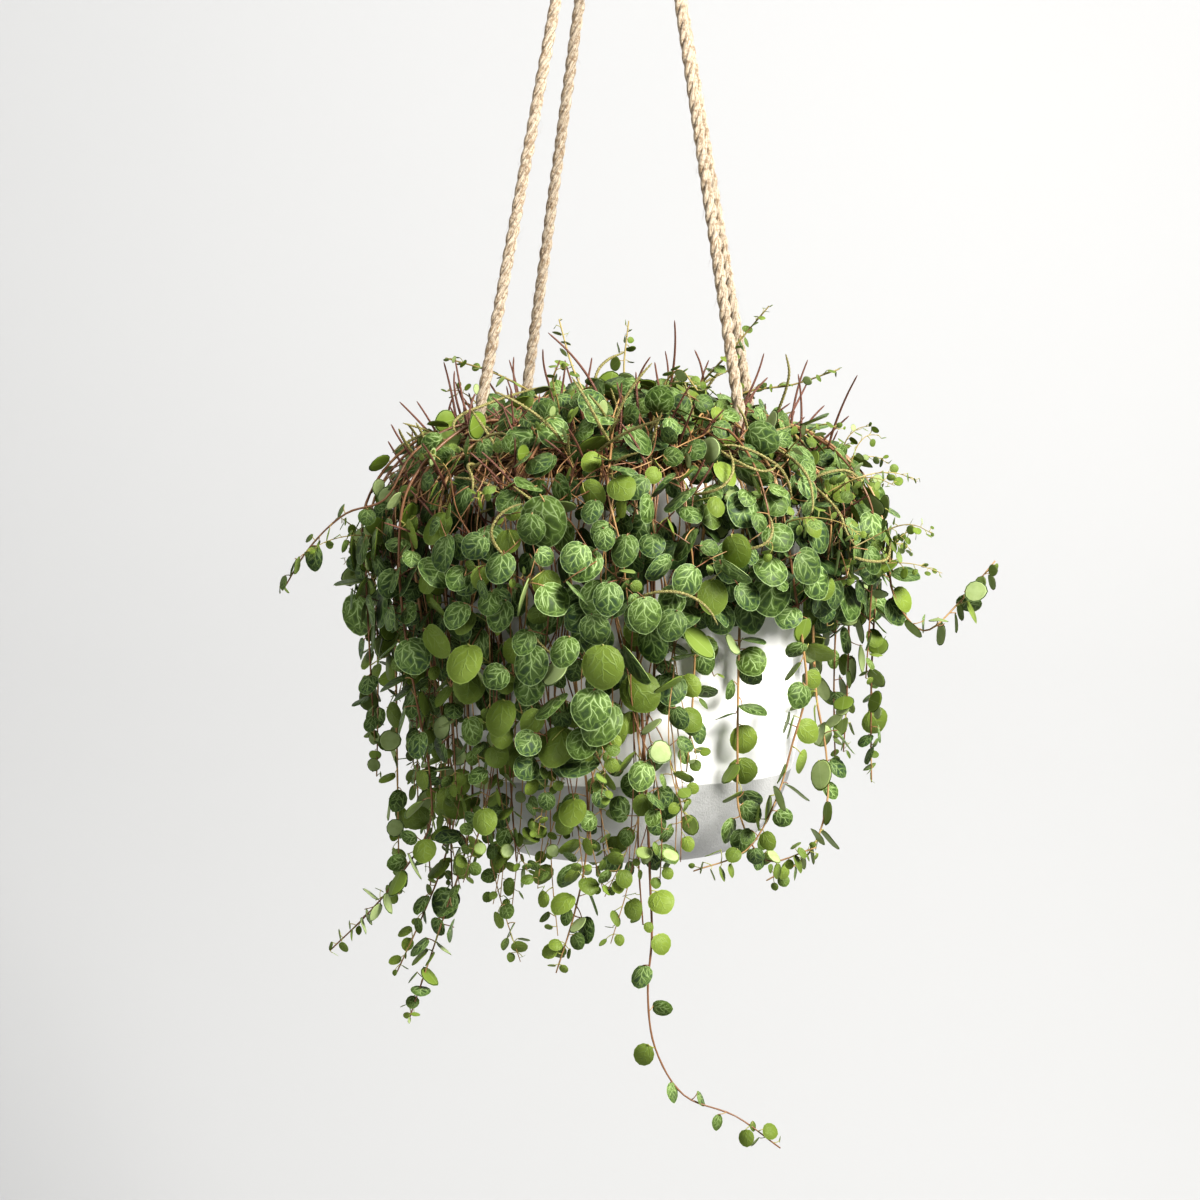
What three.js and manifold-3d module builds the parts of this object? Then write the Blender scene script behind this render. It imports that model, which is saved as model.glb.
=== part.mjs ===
// Potted string of turtles: a two-tone ceramic pot on four jute rope legs, filled with soil and
// a dense trailing plant. Millimetres, +Z up, -Y towards the front of the pot.
// The origin is the inside top of the hanging loop, on the pot's axis.
import * as THREE from 'three';
import { mergeVertices } from 'three/addons/utils/BufferGeometryUtils.js';
import Module from 'manifold-3d';

const wasm = await Module();
wasm.setup();

// Rope, loop and knots
const ROPE_DIAMETER = 6;
const ROPE_SIDES = 8;
const LOOP_HEIGHT = 42;             // inside top of the loop down to the gathering knot
const LOOP_HALF_WIDTH = 12.8;       // to the centre line of the loop's rope
const LOOP_FOOT = 5;                // half the distance between the loop's two ends
const KNOT_HEIGHT = 34;
const KNOT_RADIUS = 13.5;
const KNOT_WAIST = 11.6;            // radius in the grooves between the knot's turns
const KNOT_TURNS = 5;
const KNOT_SIDES = 10;
const STOPPER_RADIUS = 7;
const STOPPER_SIDES = 8;
const STOPPER_ROWS = 5;
const LEG_AZIMUTHS = { right_back: 26.5, left_back: 133.5, left_front: 202.5, right_front: 317.5 };
const LEG_TOPS = {                  // where each leg leaves the gathering knot
  right_back: [5.4, 2.7],
  left_back: [-1.2, 4.4],
  left_front: [-5.6, -2.4],
  right_front: [7.4, -4.1],
};
const LEG_RIM_RADIUS = 82.3;        // the legs' centre lines at the height of the rim
const LEG_BEND_DROP = 5;            // below the rim, where a leg turns out to its hole
const LEG_BEND_RADIUS = 12;
const LEG_END_ANGLE = 78;           // degrees turned from straight down at the stopper knot
const LEG_SPANS = 17;               // steps of the straight stretch
const END_GAP = 0.95;               // to the middle of a slanted rope end, 0.3 at its edge

// Pot
const RIM_Z = -456;
const POT_HEIGHT = 184;
const FOOT_RADIUS = 50;
const BELLY_HEIGHT = 90;            // above the foot, where the wall is upright
const BELLY_RADIUS = 90.3;
const RIM_RADIUS = 91;
const WALL = 5;
const FLOOR = 8;
const RIM_ROUND = 1.5;
const POT_SEGMENTS = 32;
const ROPE_HOLE_RADIUS = 4.8;

// Soil
const SOIL_DROP = 22;               // below the rim, at the wall
const SOIL_CROWN = 5;               // rise of the soil towards the middle
const GAP = 0.3;

// Stems
const STEM_RADIUS = 1.15;
const STEM_SIDES = 3;
const STEM_STEP = 27;               // between the sections of a stem
const ROOT_DEPTH = 12;
const ROOT_HOLE_SIDES = 5;
const ROOT_HOLE_RADIUS = 2.2;
const MEANDER = 3;                  // how far a stem's points stray to either side
const RINGS = {                     // stems rooted further in rise higher and hang further out
  near: { root: 66, crest: 8, out: 10 },
  middle: { root: 49, crest: 19, out: 24 },
  outer: { root: 31, crest: 28, out: 37 },
};
const LOW_BEND = { across: 0.4, up: 0.9 };   // shares of the way from root to rim, soil to crest
const CREST_ACROSS = 0.82;          // share of the way from root to rim, at the crest
const SHOULDER = { across: 0.66, up: 0.3 };  // shares of the reach over the rim and of the crest
const HANG_START = -12;             // below the rim, where the stems turn down
const SPAN_DROP = 45;               // between the points of a hanging stem

// Leaves
const MOUND_SPACING = 13;           // along a stem, in the mound
const TRAIL_SPACING = 22;           // and where it hangs
const MOUND_EDGE = -35;             // below the rim, where the mound ends
const MOUND_TURN = 1.5;             // how fast the leaves turn up to the sky above that edge
const LEAF_LARGEST = 14.6;          // half the length of a blade near the soil
const LEAF_SMALLEST = 5.2;          // and at the tip of a long stem
const LEAF_THICKNESS = 0.26;        // of half the length
const LEAF_PETIOLE = 3.2;
const LEAF_RIM = [                  // blade outline round its middle: degrees from the tip, reach
  [122, 0.96], [58, 1], [0, 1.06], [-58, 1], [-122, 0.96],
];
const LEAF_TRIES = 6;
const CLEARANCE = 3;                // kept between the middle surfaces of two leaves
const POT_MARGIN = 2.6;             // kept between a blade and the pot
const YOUNG_SIZE = 0.72;            // of a shoot's leaves, next to a trail's
const SAMPLE_SPACING = 2.4;

// Flower spikes
const SPIKE_LENGTH = 34;
const SPIKE_RADIUS = 1.3;
const SPIKE_MARGIN = 2;             // kept between a spike and the pot

// Colours
const COLOURS = {
  jute: 0xcdb38b, glaze: 0xf1efec, soil: 0x3a2a1f, leaf: 0x5f8a45, youngLeaf: 0x86a850,
};

// Trailing stems, by the ring that they are rooted in, the azimuth where they cross the rim,
// how far their tips hang below it and the degrees that they drift sideways on the way.
const TRAILS = [
  { ring: 'near', azimuth: 278, drop: 205, swing: -3 },
  { ring: 'near', azimuth: 292, drop: 135, swing: -4 },
  { ring: 'near', azimuth: 234, drop: 178, swing: 4 },
  { ring: 'near', azimuth: 216, drop: 205, swing: -3 },
  { ring: 'near', azimuth: 190, drop: 200, swing: 3 },
  { ring: 'near', azimuth: 174, drop: 185, swing: 2 },
  { ring: 'near', azimuth: 153, drop: 190, swing: 4 },
  { ring: 'near', azimuth: 119, drop: 170, swing: -4 },
  { ring: 'near', azimuth: 96, drop: 215, swing: 3 },
  { ring: 'near', azimuth: 72, drop: 150, swing: 5 },
  { ring: 'near', azimuth: 46, drop: 185, swing: -4 },
  { ring: 'near', azimuth: 8, drop: 112, swing: 3 },
  { ring: 'middle', azimuth: 284, drop: 62, swing: 4 },
  { ring: 'middle', azimuth: 246, drop: 96, swing: -4 },
  { ring: 'middle', azimuth: 222, drop: 150, swing: 5 },
  { ring: 'middle', azimuth: 183, drop: 208, swing: -2 },
  { ring: 'middle', azimuth: 164, drop: 176, swing: -3 },
  { ring: 'middle', azimuth: 143, drop: 150, swing: 4 },
  { ring: 'middle', azimuth: 108, drop: 188, swing: 3 },
  { ring: 'middle', azimuth: 59, drop: 160, swing: 3 },
  { ring: 'middle', azimuth: 14, drop: 140, swing: -3 },
  { ring: 'middle', azimuth: 350, drop: 135, swing: 3 },
  { ring: 'middle', azimuth: 328, drop: 70, swing: 3 },
  { ring: 'outer', azimuth: 300, drop: 44, swing: 3 },
  { ring: 'outer', azimuth: 267, drop: 58, swing: 4 },
  { ring: 'outer', azimuth: 192, drop: 128, swing: 2 },
  { ring: 'outer', azimuth: 171, drop: 150, swing: 3 },
  { ring: 'outer', azimuth: 127, drop: 118, swing: 4 },
  { ring: 'outer', azimuth: 73, drop: 104, swing: 3 },
  { ring: 'outer', azimuth: 357, drop: 150, swing: -2 },
  { ring: 'outer', azimuth: 338, drop: 96, swing: 3 },
];

// Stems with a route of their own, from the rim on, relative to the rim's middle.
const STRAYS = [
  { name: 'longest', ring: 'near', azimuth: 266, tail: [[4, -101, -60], [9, -100, -120],
    [12, -97, -180], [13, -95, -222], [11, -94, -247], [18, -93, -271], [31, -92, -288],
    [55, -91, -297], [73, -90, -311]] },
  { name: 'front_left', ring: 'near', azimuth: 255, tail: [[-24, -100, -60], [-20, -99, -115],
    [-16, -97, -160], [-22, -95, -198], [-31, -94, -228]] },
  { name: 'splay_low', ring: 'middle', azimuth: 232, tail: [[-76, -79, -60], [-72, -72, -120],
    [-72, -68, -165], [-84, -66, -205], [-102, -64, -258]] },
  { name: 'splay_mid', ring: 'middle', azimuth: 211, tail: [[-96, -62, -60], [-84, -60, -120],
    [-80, -58, -162], [-92, -56, -200], [-108, -56, -236]] },
  { name: 'splay_wide', ring: 'outer', azimuth: 217, tail: [[-103, -76, -60], [-94, -72, -120],
    [-90, -70, -160], [-112, -66, -196], [-139, -62, -224]] },
  { name: 'cross_right', ring: 'near', azimuth: 303, tail: [[54, -84, -60], [53, -86, -112],
    [55, -86, -160], [64, -84, -176], [78, -82, -179], [90, -80, -172]] },
  { name: 'sweep_left', ring: 'middle', azimuth: 309, tail: [[80, -88, -60], [85, -82, -97],
    [77, -84, -128], [66, -92, -158], [50, -97, -176], [32, -99, -180]] },
  { name: 'loop_right', ring: 'near', azimuth: 338, tail: [[92, -42, -60], [93, -42, -100],
    [99, -44, -140], [96, -50, -166], [84, -58, -184], [68, -66, -190]] },
  { name: 'reach_right', ring: 'outer', azimuth: 345, tail: [[129, -34, -32], [134, -31, -62],
    [148, -26, -74], [168, -20, -58], [184, -16, -40]] },
  { name: 'reach_left', ring: 'outer', azimuth: 206, tail: [[-124, -52, -8], [-138, -46, -24],
    [-152, -38, -34], [-165, -32, -54]] },
];

// Short stems that stand out of the mound: routes from the soil up, relative to the rim's middle.
const SHOOTS = [
  [[22, -8, 22], [40, -8, 48], [56, -6, 66], [73, -4, 86]],
  [[36, 12, 24], [62, 14, 44], [86, 14, 48], [110, 14, 56]],
  [[-12, -10, 24], [-20, -10, 46], [-27, -8, 62], [-31, -8, 79]],
  [[-32, -10, 28], [-56, -10, 50], [-74, -9, 54], [-87, -10, 60]],
  [[2, 22, 26], [4, 30, 50], [0, 34, 64], [4, 36, 82]],
  [[14, -34, 28], [22, -52, 48], [28, -70, 50], [34, -88, 40]],
  [[24, 36, 30], [36, 54, 46], [46, 70, 42], [54, 84, 26]],
];

// Small helpers
const radians = THREE.MathUtils.degToRad;
const mix = THREE.MathUtils.lerp;

function polar(azimuth, radius, z) {
  const turn = radians(azimuth);
  return new THREE.Vector3(radius * Math.cos(turn), radius * Math.sin(turn), z);
}

// A repeatable draw from 0 to 1, the same for the same whole-number keys.
function draw(...keys) {
  let h = 0x2545f491;
  for (const key of keys) {
    h = Math.imul(h ^ (key + 1), 0x9e3779b1);
    h ^= h >>> 15;
  }
  h = Math.imul(h ^ (h >>> 13), 0x85ebca6b);
  h ^= h >>> 16;
  return (h >>> 0) / 4294967296;
}

const between = (low, high, ...keys) => low + (high - low) * draw(...keys);

// A smooth route that is stepped evenly between its own points, however far apart they are.
class Route extends THREE.CatmullRomCurve3 {
  getUtoTmapping(u) {
    return u;
  }
}

function solidOf(geometry) {
  const bare = geometry.clone();
  bare.deleteAttribute('normal');
  bare.deleteAttribute('uv');
  const welded = mergeVertices(bare, 1e-4);
  return new wasm.Manifold(new wasm.Mesh({
    numProp: 3,
    vertProperties: new Float32Array(welded.attributes.position.array),
    triVerts: new Uint32Array(welded.index.array),
  }));
}

function geometryOf(solid) {
  const mesh = solid.getMesh();
  const geometry = new THREE.BufferGeometry();
  geometry.setAttribute('position', new THREE.BufferAttribute(mesh.vertProperties, 3));
  geometry.setIndex(new THREE.BufferAttribute(mesh.triVerts, 1));
  geometry.computeVertexNormals();
  return geometry;
}

function tube(points, radius, sides, stepsPerSpan) {
  const section = new THREE.Shape(Array.from({ length: sides }, (_, i) => {
    const turn = (2 * Math.PI * i) / sides;
    return new THREE.Vector2(radius * Math.cos(turn), radius * Math.sin(turn));
  }));
  return new THREE.ExtrudeGeometry(section, {
    steps: stepsPerSpan * (points.length - 1),
    extrudePath: new Route(points),
  });
}

// A lathe about +Z from (radius, height) pairs.
function lathe(profile, segments) {
  const points = profile.map(([radius, height]) => new THREE.Vector2(radius, height));
  return new THREE.LatheGeometry(points, segments).rotateX(Math.PI / 2);
}

const group = new THREE.Group();

function addMesh(name, geometry, colour, roughness) {
  const material = new THREE.MeshStandardMaterial({ color: colour, roughness, metalness: 0 });
  const mesh = new THREE.Mesh(geometry, material);
  mesh.name = name;
  group.add(mesh);
}

// Pot: a round belly that turns upright, a thick floor and a rounded rim.
function potRadius(height) {
  if (height >= BELLY_HEIGHT) {
    const rise = (height - BELLY_HEIGHT) / (POT_HEIGHT - BELLY_HEIGHT);
    return mix(BELLY_RADIUS, RIM_RADIUS, rise);
  }
  const below = 1 - Math.max(height, 0) / BELLY_HEIGHT;
  return mix(FOOT_RADIUS, BELLY_RADIUS, (1 - below ** 2.4) ** (1 / 1.9));
}

const innerRadius = (height) => potRadius(height - WALL / 2) - WALL;

function wallProfile(radiusAt, from, to, count) {
  return Array.from({ length: count + 1 }, (_, i) => {
    const share = 1 - Math.cos((i / count) * (Math.PI / 2));
    const height = mix(from, to, share);
    return [radiusAt(height), height];
  });
}

const insideProfile = () => wallProfile(innerRadius, FLOOR, BELLY_HEIGHT, 3);

function potGeometry() {
  const outside = wallProfile(potRadius, 0, BELLY_HEIGHT, 6);
  const inside = insideProfile().reverse();
  const top = POT_HEIGHT;
  const profile = [
    [0, 0], ...outside,
    [RIM_RADIUS, top - RIM_ROUND], [RIM_RADIUS - RIM_ROUND, top],
    [RIM_RADIUS - WALL + RIM_ROUND, top], [RIM_RADIUS - WALL, top - RIM_ROUND],
    ...inside, [0, FLOOR],
  ];
  let pot = solidOf(lathe(profile, POT_SEGMENTS).translate(0, 0, RIM_Z - POT_HEIGHT));
  for (const azimuth of Object.values(LEG_AZIMUTHS)) {
    pot = pot.subtract(solidOf(ropeHole(azimuth)));
  }
  return geometryOf(pot);
}

// A leg's centre line, as radius and height, in the upright plane of its hole.
function legBend(angle) {
  const lean = Math.asin(LEG_RIM_RADIUS / Math.hypot(LEG_RIM_RADIUS, RIM_Z + LOOP_HEIGHT));
  const centre = [
    LEG_RIM_RADIUS + LEG_BEND_RADIUS * Math.cos(lean),
    RIM_Z - LEG_BEND_DROP + LEG_BEND_RADIUS * Math.sin(lean),
  ];
  const turn = Math.max(lean, radians(angle));
  return {
    radius: centre[0] - LEG_BEND_RADIUS * Math.cos(turn),
    z: centre[1] - LEG_BEND_RADIUS * Math.sin(turn),
    direction: [Math.sin(turn), -Math.cos(turn)],
  };
}

// The slanted bore that a leg leaves the pot by, along the chord of its bend through the wall.
function ropeHole(azimuth) {
  const inner = legBend(45);
  const outer = legBend(LEG_END_ANGLE - 2);
  const slope = Math.atan2(outer.z - inner.z, outer.radius - inner.radius);
  const middle = polar(azimuth, (inner.radius + outer.radius) / 2, (inner.z + outer.z) / 2);
  return new THREE.CylinderGeometry(ROPE_HOLE_RADIUS, ROPE_HOLE_RADIUS, 4 * WALL, 12)
    .rotateZ(-Math.PI / 2)
    .rotateY(-slope)
    .rotateZ(radians(azimuth))
    .translate(middle.x, middle.y, middle.z);
}

// Rope legs: straight from the gathering knot to the rim, then out through the wall.
const legTopZ = -LOOP_HEIGHT - KNOT_HEIGHT - END_GAP;

function legPoints(side) {
  const azimuth = LEG_AZIMUTHS[side];
  const [x, y] = LEG_TOPS[side];
  const top = new THREE.Vector3(x, y, legTopZ);
  const start = legBend(0);
  const foot = polar(azimuth, start.radius, start.z);
  const points = [];
  for (let i = 0; i <= LEG_SPANS; i += 1) {
    points.push(new THREE.Vector3().lerpVectors(top, foot, i / LEG_SPANS));
  }
  for (const angle of [24, 37, 51, 65, LEG_END_ANGLE]) {
    const bend = legBend(angle);
    points.push(polar(azimuth, bend.radius, bend.z));
  }
  return points;
}

function stopperCentre(azimuth) {
  const { radius, z, direction } = legBend(LEG_END_ANGLE);
  const reach = STOPPER_RADIUS + GAP;
  return polar(azimuth, radius + reach * direction[0], z + reach * direction[1]);
}

function stopperGeometry(azimuth) {
  const centre = stopperCentre(azimuth);
  return new THREE.SphereGeometry(STOPPER_RADIUS, STOPPER_SIDES, STOPPER_ROWS)
    .translate(centre.x, centre.y, centre.z);
}

// Gathering knot: five turns of rope round the bundle.
function gatherGeometry() {
  const bottom = -LOOP_HEIGHT - KNOT_HEIGHT;
  const pitch = KNOT_HEIGHT / KNOT_TURNS;
  const profile = [[0, bottom], [KNOT_WAIST, bottom]];
  for (let turn = 0; turn < KNOT_TURNS; turn += 1) {
    const low = bottom + turn * pitch;
    profile.push([KNOT_RADIUS, low + 0.3 * pitch], [KNOT_RADIUS, low + 0.7 * pitch]);
    profile.push([KNOT_WAIST, low + pitch]);
  }
  profile.push([0, -LOOP_HEIGHT]);
  return geometryOf(solidOf(lathe(profile, KNOT_SIDES)));
}

// Hanging loop: one bight of rope with both ends in the gathering knot.
function loopPoints() {
  const top = ROPE_DIAMETER / 2;
  const foot = END_GAP - LOOP_HEIGHT;
  const half = [
    [LOOP_FOOT, foot], [0.55 * LOOP_HALF_WIDTH, foot + 9], [0.9 * LOOP_HALF_WIDTH, foot + 20],
    [LOOP_HALF_WIDTH, foot + 31], [0.74 * LOOP_HALF_WIDTH, top - 4.2],
  ];
  const right = half.map(([x, z]) => new THREE.Vector3(x, 0, z));
  const left = half.map(([x, z]) => new THREE.Vector3(-x, 0, z)).reverse();
  return [...right, new THREE.Vector3(0, 0, top), ...left];
}

// Stem routes
function trailPoints(trail, stem) {
  const { root, crest, out } = RINGS[trail.ring];
  const over = RIM_RADIUS + out;
  const { azimuth, drop, swing } = trail;
  const points = rise(azimuth, root, crest, over);
  const spans = trail.tail ? 0 : Math.max(2, Math.round(drop / SPAN_DROP));
  for (let i = 1; i <= spans; i += 1) {
    const share = i / spans;
    const stray = between(-MEANDER, MEANDER, stem, i, 1) / over;
    const radius = over + between(-1, 1, stem, i, 2) - 4 * share;
    const turn = azimuth + swing * share + THREE.MathUtils.radToDeg(stray);
    points.push(polar(turn, radius, mix(HANG_START, -drop, share)));
  }
  for (const [x, y, z] of trail.tail ?? []) {
    points.push(new THREE.Vector3(x, y, z));
  }
  return points;
}

// Out of the soil, up through the mound and over the rim.
function rise(azimuth, root, crest, over) {
  return [
    polar(azimuth, root, -SOIL_DROP - ROOT_DEPTH),
    polar(azimuth, root, -SOIL_DROP + SOIL_CROWN + 2),
    polar(azimuth, mix(root, RIM_RADIUS, LOW_BEND.across), mix(-SOIL_DROP, crest, LOW_BEND.up)),
    polar(azimuth, mix(root, RIM_RADIUS, CREST_ACROSS), crest),
    polar(azimuth, mix(RIM_RADIUS, over, SHOULDER.across), crest * SHOULDER.up),
    polar(azimuth, over, HANG_START),
  ];
}

function shootPoints(shoot) {
  const [x, y] = shoot[0];
  return [
    new THREE.Vector3(x, y, -SOIL_DROP - ROOT_DEPTH), new THREE.Vector3(x, y, -SOIL_DROP + SOIL_CROWN + 2),
    ...shoot.map(([px, py, pz]) => new THREE.Vector3(px, py, pz)),
  ];
}

// Space already taken, in cubes, so that no two leaves are set through each other. The owner of a
// stem's cubes is its number; every leaf keeps clear of leaves, ropes and all stems but its own.
const ROPE_OWNER = -1;
const LEAF_OWNER = -2;

class Thicket {
  constructor() {
    this.taken = new Map();
  }

  cell(value) {
    return Math.floor(value / CLEARANCE) + 512;
  }

  key(i, j, k) {
    return (i * 1024 + j) * 1024 + k;
  }

  claim(points, owner) {
    for (const point of points) {
      const key = this.key(this.cell(point.x), this.cell(point.y), this.cell(point.z));
      if (!this.taken.has(key)) this.taken.set(key, owner);
    }
  }

  isFree(points, ownStem) {
    return points.every((point) => this.isClear(point, ownStem));
  }

  isClear(point, ownStem) {
    const [i, j, k] = [this.cell(point.x), this.cell(point.y), this.cell(point.z)];
    for (let di = -1; di <= 1; di += 1) {
      for (let dj = -1; dj <= 1; dj += 1) {
        for (let dk = -1; dk <= 1; dk += 1) {
          const owner = this.taken.get(this.key(i + di, j + dj, k + dk));
          if (owner !== undefined && owner !== ownStem) return false;
        }
      }
    }
    return true;
  }
}

// Whether a point relative to the rim's middle keeps a margin to the pot and the soil.
function clearsPot(point, margin) {
  const radius = Math.hypot(point.x, point.y);
  if (point.z > margin || point.z < -POT_HEIGHT - margin) return true;
  if (radius > potRadius(point.z + POT_HEIGHT) + margin) return true;
  return radius < RIM_RADIUS - WALL - margin && point.z > -SOIL_DROP + SOIL_CROWN + margin;
}

// Evenly spaced places along straight spans, with the direction of growth.
function stations(points, spacing) {
  const places = [];
  let walked = 0;
  let next = 0;
  for (let i = 1; i < points.length; i += 1) {
    const span = points[i].distanceTo(points[i - 1]);
    const along = new THREE.Vector3().subVectors(points[i], points[i - 1]).normalize();
    while (next <= walked + span) {
      places.push({ at: points[i - 1].clone().addScaledVector(along, next - walked), along });
      next += spacing;
    }
    walked += span;
  }
  return { places, length: walked };
}

// The sections of a stem: an upright root, then its smooth route in steps of a like length.
function stemSections([root, ...above]) {
  const route = new Route(above);
  const count = 12 * (above.length - 1);
  const fine = Array.from({ length: count + 1 }, (_, i) => route.getPoint(i / count));
  const { length } = stations(fine, 1);
  const step = length / Math.round(length / STEM_STEP) - 1e-6;
  return [root, ...stations(fine, step).places.map(({ at }) => at)];
}

// The way out of the foliage: up in the mound, level where the stems hang.
function outward(point) {
  const up = Math.max(0, point.z - MOUND_EDGE) * MOUND_TURN;
  return new THREE.Vector3(point.x, point.y, up + 1e-3).normalize();
}

// One blade held off its stem. Try numbers above 0 turn it or make it smaller.
function leafAt(place, stem, item, size, attempt) {
  const out = outward(place.at);
  const side = new THREE.Vector3().crossVectors(place.along, out).normalize();
  const hand = (item + attempt) % 2 === 0 ? 1 : -1;
  const slew = radians(between(-35, 40, stem, item, attempt, 3));
  const tilt = radians(between(-10, 38, stem, item, attempt, 4));
  const roll = radians(between(-30, 30, stem, item, attempt, 5));
  const half = size * between(0.86, 1.1, stem, item, attempt, 6) * 0.88 ** Math.floor(attempt / 2);
  const toTip = side.clone().multiplyScalar(hand * Math.cos(slew))
    .addScaledVector(place.along, Math.sin(slew))
    .addScaledVector(out, Math.sin(tilt)).normalize();
  const face = out.clone().addScaledVector(toTip, -out.dot(toTip)).normalize()
    .applyAxisAngle(toTip, roll);
  const across = new THREE.Vector3().crossVectors(face, toTip);
  const middle = place.at.clone().addScaledVector(toTip, LEAF_PETIOLE + half);
  return { root: place.at, middle, toTip, across, face, half };
}

// Points over a blade and its stalk, for keeping leaves apart.
function leafSamples(leaf) {
  const samples = [];
  const rings = Math.max(1, Math.ceil(leaf.half / SAMPLE_SPACING));
  for (let ring = 0; ring <= rings; ring += 1) {
    const radius = (leaf.half * ring) / rings;
    const count = Math.max(1, Math.ceil((2 * Math.PI * radius) / SAMPLE_SPACING));
    for (let i = 0; i < count; i += 1) {
      const turn = (2 * Math.PI * i) / count;
      samples.push(leaf.middle.clone().addScaledVector(leaf.toTip, radius * Math.cos(turn))
        .addScaledVector(leaf.across, radius * Math.sin(turn))
        .addScaledVector(leaf.face, leaf.half * LEAF_THICKNESS * 0.3));
    }
  }
  return samples;
}

// A domed blade with a flat back, its first point sunk in the stem and the others round the rim.
function leafGeometry({ root, middle, toTip, across, face, half }) {
  const rim = LEAF_RIM.map(([degrees, reach]) => {
    const turn = radians(degrees);
    return middle.clone().addScaledVector(toTip, half * reach * Math.cos(turn))
      .addScaledVector(across, half * reach * Math.sin(turn));
  });
  const crown = middle.clone().addScaledVector(face, half * LEAF_THICKNESS);
  const top = rim.length + 1;
  const faces = [];
  for (let i = 0; i < top; i += 1) faces.push((i + 1) % top, i, top);
  faces.push(0, 1, 5, 1, 2, 5, 2, 4, 5, 2, 3, 4);
  const geometry = new THREE.BufferGeometry().setFromPoints([root, ...rim, crown]);
  geometry.setIndex(faces);
  return geometry;
}

// Leaves of one stem, larger near the soil, set where nothing is in the way.
function growLeaves(points, stem, thicket, largest) {
  const { places, length } = stations(points, 1);
  const leaves = [];
  const first = ROOT_DEPTH + 16 + between(0, 5, stem, 11);
  const smallest = mix(LEAF_LARGEST * 0.62, LEAF_SMALLEST, Math.min(1, length / 260));
  let item = 0;
  for (let walked = first; walked < length - 3; item += 1) {
    const place = places[Math.round(walked)];
    const share = walked / length;
    const size = mix(largest, smallest, share ** 1.8);
    for (let attempt = 0; attempt < LEAF_TRIES; attempt += 1) {
      const leaf = leafAt(place, stem, item, size, attempt);
      const samples = leafSamples(leaf);
      const clear = samples.every((sample) => clearsPot(sample, POT_MARGIN));
      if (clear && thicket.isFree(samples, stem)) {
        thicket.claim(samples, LEAF_OWNER);
        leaves.push(leaf);
        break;
      }
    }
    const spacing = place.at.z > MOUND_EDGE ? MOUND_SPACING : TRAIL_SPACING;
    walked += spacing * (0.55 + (0.45 * size) / largest) * between(0.85, 1.15, stem, item, 8);
  }
  return leaves;
}

// A curved flower spike that rises off a stem.
function spikePoints(points, stem) {
  const { places, length } = stations(points, 1);
  const place = places[Math.round(length * between(0.35, 0.6, stem, 21))];
  const out = outward(place.at);
  const side = new THREE.Vector3().crossVectors(place.along, out).normalize();
  const hand = draw(stem, 22) < 0.5 ? 1 : -1;
  return [0, 0.3, 0.65, 1].map((share) => place.at.clone()
    .addScaledVector(out, SPIKE_LENGTH * 0.62 * Math.sin(share * 1.9))
    .addScaledVector(side, hand * SPIKE_LENGTH * 0.5 * share)
    .addScaledVector(new THREE.Vector3(0, 0, 1), SPIKE_LENGTH * 0.55 * share ** 1.6));
}

// Build
addMesh('pot', potGeometry(), COLOURS.glaze, 0.45);

for (const [side, azimuth] of Object.entries(LEG_AZIMUTHS)) {
  const leg = tube(legPoints(side), ROPE_DIAMETER / 2, ROPE_SIDES, 1);
  addMesh(`rope_${side}`, leg, COLOURS.jute, 0.9);
  addMesh(`stopper_knot_${side}`, stopperGeometry(azimuth), COLOURS.jute, 0.9);
}
addMesh('gathering_knot', gatherGeometry(), COLOURS.jute, 0.9);
addMesh('hanging_loop', tube(loopPoints(), ROPE_DIAMETER / 2, ROPE_SIDES, 1), COLOURS.jute, 0.9);

const stems = [
  ...TRAILS.map((trail, i) => [`trail_${i + 1}`, trailPoints(trail, i)]),
  ...STRAYS.map((trail, i) => [`trail_${trail.name}`, trailPoints(trail, TRAILS.length + i)]),
  ...SHOOTS.map((shoot, i) => [`shoot_${i + 1}`, shootPoints(shoot)]),
].map(([name, points]) => ({ name, points: stemSections(points) }));

// Everything the leaves keep clear of: the ropes, their knots and every stem.
const thicket = new Thicket();
const toRim = (point) => point.clone().setZ(point.z - RIM_Z);
for (const [side, azimuth] of Object.entries(LEG_AZIMUTHS)) {
  for (const { at } of stations(legPoints(side), 2).places) {
    for (let turn = 0; turn < 360; turn += 45) {
      thicket.claim([toRim(at).add(polar(turn, ROPE_DIAMETER / 2, 0))], ROPE_OWNER);
    }
  }
  const knot = new THREE.SphereGeometry(STOPPER_RADIUS, 16, 10).attributes.position;
  for (let i = 0; i < knot.count; i += 1) {
    const centre = toRim(stopperCentre(azimuth));
    thicket.claim([new THREE.Vector3().fromBufferAttribute(knot, i).add(centre)], ROPE_OWNER);
  }
}
stems.forEach(({ points }, stem) => {
  thicket.claim(stations(points, 1.5).places.map(({ at }) => at), stem);
});

let soil = solidOf(lathe([
  [0, FLOOR + GAP],
  ...insideProfile().map(([radius, height]) => [radius - GAP, height + GAP]),
  [RIM_RADIUS - WALL - GAP, POT_HEIGHT - SOIL_DROP],
  [RIM_RADIUS * 0.6, POT_HEIGHT - SOIL_DROP + 0.8 * SOIL_CROWN],
  [0, POT_HEIGHT - SOIL_DROP + SOIL_CROWN],
], POT_SEGMENTS).translate(0, 0, RIM_Z - POT_HEIGHT));

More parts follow.
